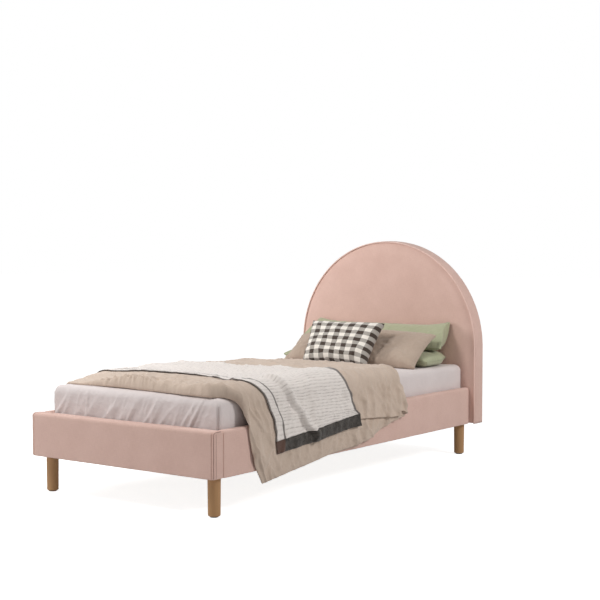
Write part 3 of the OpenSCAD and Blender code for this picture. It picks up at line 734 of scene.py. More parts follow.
@dataclass(frozen=True)
class DashedThrow(Finish):
    """Soft ribbed weave with short dark dashes along the bed, dark lines at its foot edge, and a
    painted shadow line along its head edge where it hangs.
    """

    shade: Colour
    line: Colour
    pitch: float
    width: float

    def paint(self, p: Paint) -> None:
        """Adds the material's nodes.

        Args:
            p: Node tree of the material.
        """
        place, u, v = p.cloth()
        wave = (p.noise(place, scale=19.0, detail=2) - 0.5) * 0.011
        line = (u + wave + v * 0.03) / self.pitch
        rib = abs((line * math.pi).sin())
        row = (line - line.fract()) * 0.37
        dash = ((v + wave + row * 0.061) / 0.034).fract()
        stitch = abs(dash - 0.5).step(0.2, 0.34)
        gap = p.stretched(place, (60, 22, 1), detail=2).step(0.38, 0.56)
        mark = (1.0 - rib).step(0.3, 0.9) * (1.0 - stitch) * gap
        yarn = p.stretched(place, (900, 160, 1), detail=2)
        patch = p.noise(place, scale=30.0, detail=3)
        hem = v.band(middle=0.003, half=0.007)
        seam = v.band(middle=0.052, half=0.006)
        # Painted shadow: only on the hanging part, a dark line along the head edge stands in for
        # the shadow beside the raised hem.
        drop = 1.0 - u.step(0.25, 0.36)
        edge = hem.top(seam).top((v - self.width).band(middle=-0.003, half=0.0085) * drop)
        tone = rib * 0.3 + yarn * 0.6 + (patch - 0.5) * 0.8
        ground = p.mix(self.shade, self.light, tone.step(-0.2, 0.9))
        marked = p.mix(ground, self.dark, mark * 0.36 * v.step(0.055, 0.06))
        colour = p.mix(marked, self.line, edge * 0.85)
        height = rib * 0.8 + yarn * 0.35 - mark * 0.5 - edge * 0.7
        relief = p.bump(height, depth=0.0016)
        normal = p.bump(p.weave(u, v, pitch=0.002), depth=0.0004, under=relief)
        p.surface(colour, roughness=0.95, normal=normal, Sheen_Weight=0.3, Sheen_Roughness=0.6,
                  Specular_IOR_Level=0.2)


@dataclass(frozen=True)
class MottledBand(Finish):
    """Dark band of thick mottled yarn at the hem of the throw, browner at its end."""

    end: Colour

    def paint(self, p: Paint) -> None:
        """Adds the material's nodes.

        Args:
            p: Node tree of the material.
        """
        place, u, v = p.cloth()
        flecks = p.stretched(place, (420, 150, 1), detail=3)
        cloud = p.noise(place, scale=55.0, detail=2)
        knit = p.weave(u, v, pitch=0.0045)
        tone = flecks * 0.7 + cloud * 0.5 + knit * 0.2
        colour = p.mix(self.dark, self.light, tone.step(0.45, 1.0))
        colour = p.mix(self.end, colour, v.step(0.044, 0.056))
        normal = p.bump(knit, depth=0.0012, under=p.bump(flecks, depth=0.0012))
        p.surface(colour, roughness=0.95, normal=normal, Sheen_Weight=0.2, Specular_IOR_Level=0.2)


class GrainAxis(Enum):
    """Direction that the grain of a timber runs in."""

    ACROSS = (1.0, 14.0, 14.0)
    LENGTHWISE = (14.0, 1.0, 14.0)
    UPRIGHT = (14.0, 14.0, 1.0)


@dataclass(frozen=True)
class Timber(Finish):
    """Wood with rings, fine pores and slow changes of tone along its grain."""

    axis: GrainAxis
    scale: float = 6.0
    pores: float = 0.35
    roughness: float = 0.5
    coat: float = 0.0
    layers: float = 0.0

    def paint(self, p: Paint) -> None:
        """Adds the material's nodes.

        Args:
            p: Node tree of the material.
        """
        place = p.place("Object")
        figure, fine, slow = (p.stretched(place, [k * scale for k in self.axis.value], detail)
                              for scale, detail in ((self.scale, 3), (45, 2), (1.5, 1)))
        rings = abs(((figure * 7.0).fract() - 0.5)) * 2.0
        tone = rings * 0.35 + fine * 0.45 + slow * 0.5
        colour = p.mix(self.dark, self.light, tone.step(0.25, 1.0))
        pore = (fine - 0.62).step(0.0, 0.06)
        colour = p.mix(colour, self.dark, pore * self.pores)
        if self.layers:
            _, _, z = p.axes(place)
            ply = (z / self.layers).fract().step(0.44, 0.56)
            colour = p.mix(colour, self.dark, ply * 0.18)
        rough = (fine - 0.5) * 0.2 + self.roughness
        normal = p.bump(fine * 0.7 + rings * 0.3 - pore * 0.5, depth=0.0003)
        p.surface(colour, rough, normal, Coat_Weight=self.coat, Coat_Roughness=0.35)


@dataclass(frozen=True)
class Metal(Finish):
    """Plated or turned metal with fine scratches and dull patches."""

    roughness: float = 0.35

    def paint(self, p: Paint) -> None:
        """Adds the material's nodes.

        Args:
            p: Node tree of the material.
        """
        place = p.place("Object")
        patch = p.noise(place, scale=60.0, detail=4, rough=0.6)
        scratch = p.stretched(place, (1800, 1800, 90), detail=2)
        colour = p.mix(self.dark, self.light, patch.step(0.25, 0.75))
        rough = patch * 0.2 + scratch * 0.15 + (self.roughness - 0.15)
        p.surface(colour, roughness=rough, normal=p.bump(scratch, depth=0.00008), Metallic=1.0)


@dataclass(frozen=True)
class MouldedPlastic(Finish):
    """Moulded plastic with a fine eroded texture."""

    def paint(self, p: Paint) -> None:
        """Adds the material's nodes.

        Args:
            p: Node tree of the material.
        """
        place = p.place("Object")
        grainy = p.noise(place, scale=1400.0, detail=2)
        patch = p.noise(place, scale=30.0, detail=3)
        colour = p.mix(self.dark, self.light, patch.step(0.3, 0.8))
        p.surface(colour, roughness=grainy * 0.15 + 0.42, normal=p.bump(grainy, depth=0.0001))


@dataclass(frozen=True)
class DustCloth(Finish):
    """Thin non-woven cloth with pressed dots and loose fibres."""

    def paint(self, p: Paint) -> None:
        """Adds the material's nodes.

        Args:
            p: Node tree of the material.
        """
        place = p.place("Object")
        x, _, z = p.axes(place)
        dots = ((x * (math.pi / 0.003)).sin() * (z * (math.pi / 0.003)).sin()).top(0.0)
        fibre = p.stretched(place, (500, 500, 120), detail=3)
        colour = p.mix(self.dark, self.light, (fibre * 0.8 + dots * 0.25).step(0.2, 0.9))
        normal = p.bump(fibre - dots * 0.4, depth=0.0004)
        p.surface(colour, roughness=0.92, normal=normal, Specular_IOR_Level=0.25)


@dataclass(frozen=True)
class Ticking(Finish):
    """Knitted mattress cover with quilted diamonds."""

    def paint(self, p: Paint) -> None:
        """Adds the material's nodes.

        Args:
            p: Node tree of the material.
        """
        x, y, z = p.axes(p.place("Object"))
        k = math.pi / 0.09
        quilt = abs(((x + y) * k).sin() * ((x - y) * k).sin()) ** 0.5
        knit = p.weave(x + z, y + z, pitch=0.002)
        colour = p.mix(self.dark, self.light, (quilt * 0.6 + knit * 0.4).step(0.0, 0.8))
        normal = p.bump(knit, depth=0.0003, under=p.bump(quilt, depth=0.004))
        p.surface(colour, roughness=0.9, normal=normal, Sheen_Weight=0.1)


PINK = WovenCloth("upholstery_cloth", srgb(234, 201, 189), srgb(210, 173, 160),
                  pitch=0.0018, relief=0.0006, slub=0.6)
# Painted light: the piping cloth is a lighter copy of the upholstery cloth, so that the shaded side
# of the cord does not show as a dark line.
PIPING_PAINTED_LIGHT = WovenCloth("piping_cloth_painted_light", srgb(242, 210, 199), srgb(222, 188, 176), pitch=0.0014)
# Painted shade: a darker copy of the upholstery cloth for the foot panel's welts and end seams, so
# that they show as the dark lines of shaded seams.
SHADED_WELT = WovenCloth("welt_cloth_painted_shade", srgb(196, 161, 150), srgb(164, 128, 118), pitch=0.0014)
SHEET = WovenCloth("sheet_cloth", srgb(232, 222, 220), srgb(213, 202, 200),
                   pitch=0.0011, relief=0.0002, slub=0.25, crumple=0.0009)
# Painted shade: a darker copy of the sheet cloth for the corner seams, so that they show as the
# dark shaded lines of the seams.
SHADED_SHEET_SEAM = WovenCloth("sheet_seam_painted_shade", srgb(198, 184, 182), srgb(170, 154, 152),
                 pitch=0.0011, relief=0.0003, slub=0.3)
# The duvet's depth of 0.45 paints patches of shade into its colour.
BEIGE = WovenCloth("duvet_cloth", srgb(220, 200, 184), srgb(188, 168, 151),
                   pitch=0.0013, relief=0.0003, slub=0.4, crumple=0.0022, depth=0.45)
SAND = WovenCloth("sand_pillow_cloth", srgb(196, 177, 161), srgb(170, 150, 134),
                  pitch=0.0013, relief=0.0003, slub=0.4, crumple=0.0018)
SAGE = WovenCloth("sage_pillow_cloth", srgb(188, 191, 160), srgb(158, 161, 130),
                  pitch=0.0013, relief=0.0003, slub=0.4, crumple=0.0018)
CHECK = Gingham("checked_cloth", srgb(244, 238, 229), srgb(66, 55, 48), across=0.0703, along=0.0405)
THROW = DashedThrow("throw_cloth", srgb(241, 233, 227), srgb(146, 136, 130),
                    shade=srgb(225, 215, 208), line=srgb(80, 70, 66), pitch=0.0145, width=0.55)
BAND = MottledBand("band_cloth", srgb(99, 93, 87), srgb(38, 35, 33), end=srgb(96, 72, 62))
OAK = Timber("oak", srgb(250, 190, 86), srgb(208, 144, 54), GrainAxis.UPRIGHT,
             scale=5.0, pores=0.5, roughness=0.45, coat=0.15)
PINE = Timber("pine", srgb(222, 192, 146), srgb(190, 150, 100), GrainAxis.LENGTHWISE,
              scale=4.0, pores=0.2, roughness=0.6)
PLY = Timber("birch_plywood", srgb(220, 196, 158), srgb(186, 154, 112), GrainAxis.UPRIGHT,
             scale=5.0, pores=0.2, roughness=0.6)
BEECH = Timber("slat_beech", srgb(222, 190, 148), srgb(196, 156, 112), GrainAxis.ACROSS,
               scale=5.0, pores=0.35, roughness=0.4, coat=0.2, layers=0.0013)
ZINC = Metal("zinc", srgb(196, 200, 204), srgb(150, 154, 160))
BRASS = Metal("brass", srgb(214, 178, 104), srgb(170, 132, 66), roughness=0.3)
BLACK = MouldedPlastic("black_plastic", srgb(46, 46, 48), srgb(26, 26, 28))
DUST = DustCloth("dust_cloth", srgb(96, 92, 90), srgb(62, 58, 57))
TICKING = Ticking("ticking", srgb(240, 238, 232), srgb(216, 212, 204))


def dress(piece: Piece, finish: Finish, body: str,
          replaces: Sequence[str] = ()) -> Piece:
    """Gives a piece its finish and its body.

    Args:
        piece: The new piece.
        finish: Its finish.
        body: Body that it moves with.
        replaces: Nodes that it stands for.

    Returns:
        The same piece.
    """
    piece.data.materials.clear()
    piece.data.materials.append(finish.material())
    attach(piece, body)
    if replaces:
        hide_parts(*replaces)
    log.info("%s: %d faces, %s", piece.name, len(piece.data.polygons), finish.name)
    return piece


def block_pockets(start: float, end: float, low: float) -> list[Box]:
    """Boxes that the corner blocks need in a cover.

    Args:
        start: Where they start along the bed.
        end: Where they end along the bed.
        low: Height of their lower side.

    Returns:
        Lowest and highest corner of each box.
    """
    half = BED.block_w / 2 + BED.slip
    return [((s * BED.block_mid_x - half, start, low),
             (s * BED.block_mid_x + half, end, BED.block_top + BED.slip)) for s in (-1, 1)]


@dataclass
class CarriedParts:
    """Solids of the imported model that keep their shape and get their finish."""

    finishes: dict[str, Finish] = field(default_factory=lambda: {
        "headboard_frame": PINE, "headboard_rails": PINE, "headboard_face": PLY,
        "headboard_back": DUST, "foot_board": PLY, "rail_board_": PLY, "ledger_": PINE,
        "corner_block_": PINE, "leg_plates": ZINC, "leg_bolts": ZINC, "leg_glides": BLACK,
        "leg_": OAK, "rail_bolts": ZINC, "end_bolts": ZINC, "threaded_inserts": BRASS,
        "slat_holders_": BLACK, "slat_": BEECH,
    })

    def dress(self) -> None:
        """Gives each solid the finish whose name its own name starts with."""
        for name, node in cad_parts.items():
            match = [finish for start, finish in self.finishes.items() if name.startswith(start)]
            if not match:
                continue
            for place in node.material_slots:
                place.material = match[0].material()
            node.data.set_sharp_from_angle(angle=math.radians(35))
            log.info("%s: %s", name, match[0].name)


@dataclass
class Headboard:
    """Padded front, cloth band and piping of the arched headboard."""

    tuck: Ripple = field(default_factory=lambda: Ripple(seed=11))
    seam_w: float = 5.0
    crown_w: float = 66.0
    band_bow: float = 2.2
    band_seam: float = 1.2
    under_d: float = 44.0

    def path(self, step: float) -> tuple[Array, Array]:
        """Runs up the left side, over the arch and down the right side.

        Args:
            step: Distance between points.

        Returns:
            The way from the arch's middle line to each point, as a unit vector in X and Z with the
            height of its start, and the distance run along the outline.
        """
        r, low = BED.head_r, BED.leg_h + BED.border_t
        rise = np.linspace(low, BED.arch_z, max(2, round((BED.arch_z - low) / step)))[:-1]
        turn = np.linspace(180, 0, round(math.pi * r / step))
        left = np.stack([-np.ones_like(rise), np.zeros_like(rise), rise], -1)
        top = np.stack([cosd(turn), sind(turn), np.full_like(turn, BED.arch_z)], -1)
        right = np.stack([np.ones_like(rise), np.zeros_like(rise), rise[::-1]], -1)
        way = np.concatenate([left, top, right])
        points = way[:, :2] * r + np.stack([np.zeros(len(way)), way[:, 2]], -1)
        run = run_along(points)
        return way, run

    def at(self, way: Array, radius: Array, y: Array) -> Array:
        """Points at a distance from the middle line and at a depth in the bed's length.

        Args:
            way: Way from the middle line, as path gives it.
            radius: Distance from the middle line.
            y: Depth in the bed's length.

        Returns:
            The points.
        """
        radius, y, _ = np.broadcast_arrays(radius, y, way[:, :1])
        x = way[:, None, 0] * radius
        z = way[:, None, 2] + way[:, None, 1] * radius
        return np.stack([x, y, z], -1)

    def pad(self) -> Piece:
        """Makes the padded front, which falls towards its seam in short puckers.

        Returns:
            The new piece.
        """
        way, run = self.path(9.0)
        r = BED.head_r - BED.border_t - BED.slip
        inset = np.array([0.4, 2.5, 5, 8, 12, 17, 23, 30, 38, 47, 58, 74, 95, 120, 150, 190, 240,
                          300, 360, 430, r])
        fall = BED.head_pad_t - BED.head_crown
        share = np.clip((inset - self.seam_w) / self.crown_w, 0, 1)
        rise = fall + 1 + (BED.head_crown - 1) * np.sin(0.5 * math.pi * share)
        along, deep = run[:, None], inset[None, :]
        pucker = self.tuck.swell(along, deep, height=0.9, pitch=(21, 60))
        pucker = pucker * np.exp(-((deep - 16) / 16) ** 2)
        swell = self.tuck.swell(along, deep, height=1.6, pitch=(260, 170), shift=(9, 0))
        swell = swell * ease(deep / 120) * (1 - ease((deep - 250) / 200))
        height = rise[None, :] + pucker + swell
        height[:, 0] = 1.0
        back_y = BED.head_y + BED.head_pad_t
        front = self.at(way, r - deep, back_y - height)
        back = self.at(way, r - deep, np.full_like(height, back_y))
        uv = np.stack([front[..., 0], front[..., 2]], -1)
        pad = Modeller.shell("headboard_padded_front", front, back, uv, meets=True)
        Modeller.carve(pad, block_pockets(BED.head_y - 5, back_y + 1, BED.leg_h - 1))
        return pad

    def band(self) -> Piece:
        """Makes the band of cloth round the edge, slightly bowed between its seams.

        Returns:
            The new piece.
        """
        way, run = self.path(12.0)
        front = BED.head_y + BED.head_crown
        share = np.array([0, 0.02, 0.06, 0.14, 0.25, 0.4, 0.55, 0.7, 0.83, 0.92, 0.97, 1.0])
        depth = front + share * (BED.back_y - front)
        seams = np.exp(-share / 0.02) + np.exp(-(1 - share) / 0.02)
        bow = self.band_bow * np.sin(math.pi * share) ** 0.7 - self.band_seam * seams
        tuck = self.tuck.swell(run[:, None], share[None, :], height=0.5, pitch=(26, 0.5),
                               shift=(40, 0))
        outer = self.at(way, BED.head_r + bow[None, :] + tuck, depth[None, :])
        inner = self.at(way, np.full((1, len(share)), BED.head_r - BED.border_t), depth[None, :])
        for skin in (outer, inner):
            skin[[0, -1], :, 2] = BED.leg_h
        uv = joined(run[:, None], depth[None, :])
        return Modeller.shell("headboard_edge_band", outer, inner, uv)

    def under(self) -> Piece:
        """Makes the strip of cloth that closes the bottom of the frame.

        Returns:
            The new piece.
        """
        x = np.linspace(-BED.head_r + BED.border_t, BED.head_r - BED.border_t, 60)
        back = BED.back_y - BED.border_t
        y = np.linspace(back - self.under_d, back, 8)
        gx, gy = np.meshgrid(x, y, indexing="ij")
        sag = self.tuck.swell(gx, gy, height=0.25, pitch=(60, 60))
        low = np.stack([gx, gy, BED.leg_h + BED.slip + sag], -1)
        high = np.stack([gx, gy, np.full_like(gx, BED.leg_h + BED.border_t - BED.slip)], -1)
        return Modeller.shell("headboard_under_band", low, high, np.stack([gx, gy], -1))

    def piping(self) -> Piece:
        """Makes the cord in its cloth along the front seam.

        Returns:
            The new piece.
        """
        way, _ = self.path(10.0)
        y = BED.head_y + BED.head_crown - BED.slip - BED.piping_d / 2
        radius = np.full((len(way), 1), BED.head_r - BED.piping_d / 2)
        path = self.at(way, radius, np.full((1, 1), y))[:, 0]
        path[[0, -1], 2] = BED.leg_h
        return Modeller.tube("headboard_piping_cord", path, radius=BED.piping_d / 2, sides=14)

    def build(self) -> None:
        """Makes and dresses the three soft parts of the headboard."""
        pad = dress(self.pad(), PINK, "bed_frame", ["headboard_pad"])
        band = dress(self.band(), PINK, "bed_frame", ["headboard_border"])
        under = dress(self.under(), PINK, "bed_frame")
        dress(self.piping(), PIPING_PAINTED_LIGHT, "bed_frame", ["headboard_piping"])


@dataclass
class PaddedRails:
    """Padded covers of the foot panel and of the two side rails."""

    tuck: Ripple = field(default_factory=lambda: Ripple(seed=23))
    top_r: float = 12.0
    low_r: float = 4.0
    end_r: float = 3.5
    step: float = 9.0
    groove_in: float = 9.5
    groove_w: float = 1.8
    welt_in: float = 1.6
    welt_y: float = 1.8
    seam_in: float = 0.4
    seam_y: float = 15.0
    side_gap: float = 3.2
    bare: tuple[float, float] = (210.0, 400.0)
    past: float = 9.0
    board_short: float = 28.0
    board_low: float = BED.leg_h + BED.cloth_t - BED.slip
    board_high: float = BED.rail_z - BED.top_pad_t + BED.slip

    def panel(self, width: float, thick: float, groove: float,
              bow: Callable[[Array, Array], Array]) -> tuple[Array, Array]:
        """Makes a bar with rounded long edges and rounded ends.

        Args:
            width: Length of the bar.
            thick: Thickness of the bar.
            groove: Depth of the seam beside each end.
            bow: Height of the padding at a place along the bar and round its section.

        Returns:
            Points with X along the bar, Y through it from its middle and Z up, and the cloth map.
        """
        h, half, top_r, low_r, end_r = BED.rail_h, thick / 2, self.top_r, self.low_r, self.end_r
        arcs = [(half - low_r, low_r, low_r, -90), (half - top_r, h - top_r, top_r, 0),
                (top_r - half, h - top_r, top_r, 90), (low_r - half, low_r, low_r, 180)]
        ring, way = outline(arcs, 7, lambda _, length: max(2, round(length / 8)))
        run = run_along(ring)
        turn = np.linspace(0, 90, 6)
        ends = end_r * (1 - sind(turn))
        near = np.array([6.5, 8, 9.5, 11, 12.5, 14, 16])
        x = np.concatenate([
            -width / 2 + end_r * (1 - cosd(turn)), -width / 2 + near,
            np.linspace(-width / 2, width / 2, round(width / self.step))[3:-3],
            width / 2 - near[::-1], width / 2 - end_r * (1 - cosd(turn[::-1]))])
        pull = np.concatenate([ends, np.zeros(len(x) - 2 * len(turn)), ends[::-1]])
        to_end = width / 2 - np.abs(x)
        push = bow(x[:, None], run[None, :]) * ease(to_end / 16)[:, None]
        sunk = np.exp(-(((to_end - self.groove_in) / self.groove_w) ** 2))
        push = push - groove * sunk[:, None]
        yz = ring[None] + way[None] * (push - pull[:, None])[..., None]
        points = np.concatenate([np.broadcast_to(x[:, None, None], (*yz.shape[:2], 1)), yz], -1)
        return points, joined(x[:, None], run[None, :])

    def closed(self, name: str, points: Array, uv: Array) -> Piece:
        """Closes a bar at both ends with a cap of rings drawn in to its middle.

        Args:
            name: Name of the object.
            points: Rings of points along the bar.
            uv: Cloth map of the points.

        Returns:
            The new object.
        """
        low, high = (np.stack([ring + (ring.mean(0) - ring) * t for t in (0.2, 0.5, 0.8, 1.0)])
                     for ring in (points[0], points[-1]))
        grid = np.concatenate([low[::-1], points, high])
        cloth = np.concatenate([low[::-1, :, 1:], uv, high[..., 1:]])
        faces = Modeller.grid_faces(*grid.shape[:2], wrap=True)
        return Modeller.piece(name, grid.reshape(-1, 3), faces, cloth.reshape(-1, 2))

    def foot(self) -> None:
        """Makes and dresses the cover of the foot panel with its welted corners."""
        thick = BED.foot_t
        points, uv = self.panel(BED.frame_w, thick, groove=3.0, bow=lambda x, r: (
            1.3 + self.tuck.swell(x, r, height=0.8, pitch=(210, 120))
            + self.tuck.crease(x, r, height=0.35, pitch=(46, 130)) * ease((r - 20) / 60)))
        points[..., 1] = points[..., 1] + BED.foot_y + thick / 2
        points[..., 2] += BED.leg_h
        cover = self.closed("foot_panel_cover", points, uv)
        board_w = BED.frame_w - self.board_short + 2 * BED.slip
        y = BED.foot_y + BED.foot_pad_t
        Modeller.carve(cover, [
            ((-board_w / 2, y - BED.slip, self.board_low),
             (board_w / 2, y + BED.foot_board_t + BED.slip, self.board_high)),
            *block_pockets(y + BED.foot_board_t - 0.1, BED.inner_y + 3, BED.leg_h - 2)])
        dress(cover, PINK, "bed_frame", ["foot_cover"])
        for s, side in ((-1, "left"), (1, "right")):
            self.corner_seams(s, side)

    def corner_seams(self, s: int, side: str) -> None:
        """Makes the welt round one corner of the foot panel and the plain seam beside it, both in
        the darker cloth that paints the seams' shade.

        Args:
            s: 1 for the right corner and -1 for the left one.
            side: Word for the corner in the names of the pieces.
        """
        top = BED.rail_z
        x, y = s * (BED.frame_w / 2 - self.welt_in), BED.foot_y + self.welt_y
        z = np.linspace(BED.leg_h + 4, top - 9, 22)
        line = [(x, y + 0.3 * math.sin(k * 0.8), h) for k, h in enumerate(z)]
        line += [(x, y + 3.2, top - 5), (x, y + 7.5, top - 2.4), (x, y + 13, top - self.welt_in)]
        line += [(x, BED.foot_y + t, top - self.welt_in) for t in (20, 28, 36, 43)]
        welt = Modeller.tube("foot_panel_welt_" + side, np.array(line), radius=2.3, sides=10)
        dress(welt, SHADED_WELT, "bed_frame")
        x, y = s * (BED.frame_w / 2 - self.seam_in), BED.foot_y + self.seam_y
        line = np.array([(x, y, h) for h in z])
        seam = Modeller.tube("foot_panel_end_seam_" + side, line, radius=1.5, sides=8)
        dress(seam, SHADED_WELT, "bed_frame")

    def side(self, s: int, name: str, node: str) -> None:
        """Makes and dresses the cover of one side rail.

        Args:
            s: 1 for the right rail and -1 for the left one.
            name: Name of the piece.
            node: Node that it stands for.
        """
        length = BED.head_y - BED.inner_y - self.side_gap
        thick = BED.side_t + BED.cloth_t
        points, uv = self.panel(length, thick, groove=0.0, bow=lambda x, r: (
            np.where((r > self.bare[0]) & (r < self.bare[1]), 0.0, 1.0) * (
                1.0 + self.tuck.swell(x, r, height=0.7, pitch=(190, 110), shift=(5 * s, 0))
                + self.tuck.crease(x, r, height=0.4, pitch=(60, 150)))))
        inner = BED.inner_w / 2 - BED.cloth_t
        middle = (BED.head_y + BED.inner_y) / 2
        x, y, z = np.moveaxis(points, -1, 0)
        placed = np.stack([s * (inner + thick / 2 + y), middle + x, BED.leg_h + z], -1)
        cover = self.closed(name, placed, uv)
        board = BED.inner_w / 2 - BED.slip
        x0, x1 = sorted((s * board, s * (BED.inner_w / 2 + BED.rail_board_t + BED.slip)))
        x2, x3 = sorted((s * (inner - 5), s * (board + 0.1)))
        y0, y1 = BED.inner_y - self.past, BED.head_y + self.past
        Modeller.carve(cover, [
            ((x0, y0, self.board_low), (x1, y1, self.board_high)),
            ((x2, y0, BED.leg_h - self.past), (x3, y1, BED.rail_z - BED.return_h))])
        dress(cover, PINK, "bed_frame", [node])

    def build(self) -> None:
        """Makes the three covers."""
        self.foot()
        self.side(-1, "side_rail_cover_left", "rail_cover_left")
        self.side(1, "side_rail_cover_right", "rail_cover_right")


@dataclass
class MattressAndSheet:
    """Mattress with rounded edges, and the fitted sheet stretched over it."""

    corner: float = 16.0
    sheet_corner: float = 18.5
    block_r: float = 27.5
    sheet_r: float = 30.0
    middle_inset: float = 460.0
    seam_inset: float = 5.2
    seam_low: float = 12.0
    seam_high: float = 26.0
    steps: tuple[int, int, int, int] = (149, 59, 149, 199)
    ripple: Ripple = field(default_factory=lambda: Ripple(seed=31))

    def ring(self, w: float, l: float, inset: float, corner: float) -> tuple[Array, Array]:
        """One outline with rounded corners, counterclockwise from above.

        Args:
            w: Full width.
            l: Full length.
            inset: Distance that the outline is drawn in.
            corner: Radius of the corners before that.

        Returns:
            Points in X and Y, and the way outwards at each.
        """
        r = min(max(2.0, corner - inset), w / 2 - inset + 1e-6)
        x, y = max(0.0, w / 2 - inset - r), max(0.0, l / 2 - inset - r)
        arcs = [(x, -y, r, -90), (x, y, r, 0), (-x, y, r, 90), (-x, -y, r, 180)]
        return outline(arcs, 9, lambda q, _: self.steps[q])

    def skin(self, w: float, l: float, y: float, corner: float,
             profile: Sequence[tuple[float, float, float]],
             push: Callable[[Array, float], Array]) -> tuple[Array, Array]:
        """Rings of points over a block.

        Args:
            w: Width of the block.
            l: Length of the block.
            y: Middle of the block along the bed.
            corner: Radius of its corners from above.
            profile: Inset, height and tilt of each ring, where 0 degrees faces up.
            push: Height of the folds, from the points and the tilt.

        Returns:
            The points and their place on the cloth.
        """
        line = np.array([(inset, z) for inset, z, _ in profile])
        far = run_along(line)
        first = next(k for k, (_, _, turn) in enumerate(profile) if turn < 1)
        edge = self.ring(w, l, profile[first][0], corner)[0]
        rows, maps = [], []
        for k, (inset, z, turn) in enumerate(profile):
            flat, out = self.ring(w, l, inset, corner)
            base = np.stack([flat[:, 0], flat[:, 1] + y, np.full(len(flat), z)], -1)
            way = np.concatenate([out * sind(turn), np.full((len(flat), 1), cosd(turn))], 1)
            rows.append(base + way * push(base, turn)[:, None])
            maps.append((flat if k >= first else edge + out * (far[first] - far[k])) + [0, y])
        return np.array(rows), np.array(maps)

    def edges(self, z0: float, z1: float, r: float, inner: float,
              step: float) -> list[tuple[float, float, float]]:
        """Profile from under the block, round its lower edge, up its side and onto its top.

        Args:
            z0: Height of the underside.
            z1: Height of the top.
            r: Radius of the long edges.
            inner: Inset of the first ring under the block.
            step: Distance between rings on the top.

        Returns:
            Inset, height and tilt of each ring.
        """
        rings = [(inner - t * (inner - r), z0, 180.0) for t in np.linspace(0, 1, 5)[:-1]]
        rings += [(r * (1 - sind(a)), z0 + r * (1 - cosd(a)), 180.0 - a)
                  for a in np.linspace(0, 90, 7)]
        rings += [(0.0, z, 90.0) for z in np.linspace(z0 + r, z1 - r, 18)[1:-1]]
        rings += [(r * (1 - cosd(a)), z1 - r * (1 - sind(a)), 90.0 - a)
                  for a in np.linspace(0, 90, 8)]
        insets = (*np.arange(r + step, self.middle_inset - 5, step), self.middle_inset)
        return rings + [(float(inset), z1, 0.0) for inset in insets]

    def sheet_folds(self, at: Array, turn: float) -> Array:
        """Height of the sheet's folds at points of one ring.

        Args:
            at: Points of the ring.
            turn: Tilt of the ring, in degrees.

        Returns:
            Height in millimetres.
        """
        x, y, z = at.T
        side, swell, crease = sind(turn), self.ripple.swell, self.ripple.crease
        foot = ease((-y - 880) / 60)
        upright = crease(x - 0.7 * z, z, height=5.6, pitch=(78, 300), width=0.17)
        upright = upright + crease(x - 0.45 * z, z, height=2.6, pitch=(44, 230), width=0.15,
                                   shift=(7, 0))
        strength = 0.5 + swell(x, z, height=1.1, pitch=(140, 400), shift=(3, 9))
        upright = upright * (0.5 + 0.6 * ease(strength))
        upright = upright + 4.5 * np.exp(-(((x + 273 - 0.05 * z) / 7) ** 2))
        upright = upright + 4.0 * np.exp(-(((x - 436 - 0.03 * z) / 5) ** 2))
        sides = crease(y + 0.3 * z, z, height=1.8, pitch=(90, 200), shift=(0, 4))
        drop = side * (foot * upright + (1 - foot) * sides) * (0.4 + 0.6 * ease((440 - z) / 60))
        top = (1 - side) * (swell(x, y, height=0.9, pitch=(120, 80)) + 1.0
                            + crease(x, y + 0.2 * x, height=1.2, pitch=(210, 75), width=0.14))
        ends = ease((457 - np.abs(x)) / 40) + side * (1 - foot)
        return drop * np.clip(ends, 0, 1) + np.maximum(0, top) * ease((z - 425) / 20)

    def build(self) -> None:
        """Makes and dresses the mattress and its sheet."""
        middle = BED.sheet_y + BED.sheet_l / 2
        top = BED.mattress_z + BED.mattress_h
        profile = self.edges(BED.mattress_z, top, r=self.block_r, inner=440, step=30)
        grid, uv = self.skin(BED.mattress_w, BED.mattress_l, middle, self.corner, profile,
                             lambda at, _: -np.abs(self.ripple.swell(
                                 at[:, 0], at[:, 1], height=0.4, pitch=(200, 200))))
        faces = Modeller.grid_faces(*grid.shape[:2], wrap=True).tolist()
        faces.append(list(range(grid.shape[1])))
        block = Modeller.piece("mattress_block", grid.reshape(-1, 3), faces, uv.reshape(-1, 2))
        dress(block, TICKING, "mattress", ["mattress"])
        low = BED.mattress_z - BED.slip - BED.sheet_t
        profile = self.edges(low, BED.sheet_top, r=self.sheet_r, inner=60, step=11)
        outer, uv = self.skin(BED.sheet_w, BED.sheet_l, middle, self.sheet_corner, profile,
                              self.sheet_folds)
        faces = Modeller.grid_faces(*outer.shape[:2], wrap=True)
        sheet = Modeller.piece("stretched_sheet", outer.reshape(-1, 3), faces, uv.reshape(-1, 2))
        wall = sheet.modifiers.new("cloth", "SOLIDIFY")
        wall.thickness, wall.offset = (BED.sheet_t - BED.slip) * MM, -1
        Modeller.apply(sheet)
        dress(sheet, SHEET, "mattress", ["fitted_sheet"])
        # Seam cords at the sheet's corners, in the darker cloth that paints their shade.
        for i, (sx, sy) in enumerate([(-1, -1), (1, -1), (-1, 1), (1, 1)]):
            x = sx * (BED.sheet_w / 2 - self.seam_inset)
            y = middle + sy * (BED.sheet_l / 2 - self.seam_inset)
            z = np.linspace(BED.mattress_z + self.seam_low, BED.sheet_top - self.seam_high, 20)
            line = np.array([[x + 0.5 * sx * math.sin(k), y, h] for k, h in enumerate(z)])
            seam = Modeller.tube(f"sheet_corner_seam_{i + 1}", line, radius=1.6, sides=8)
            dress(seam, SHADED_SHEET_SEAM, "mattress")


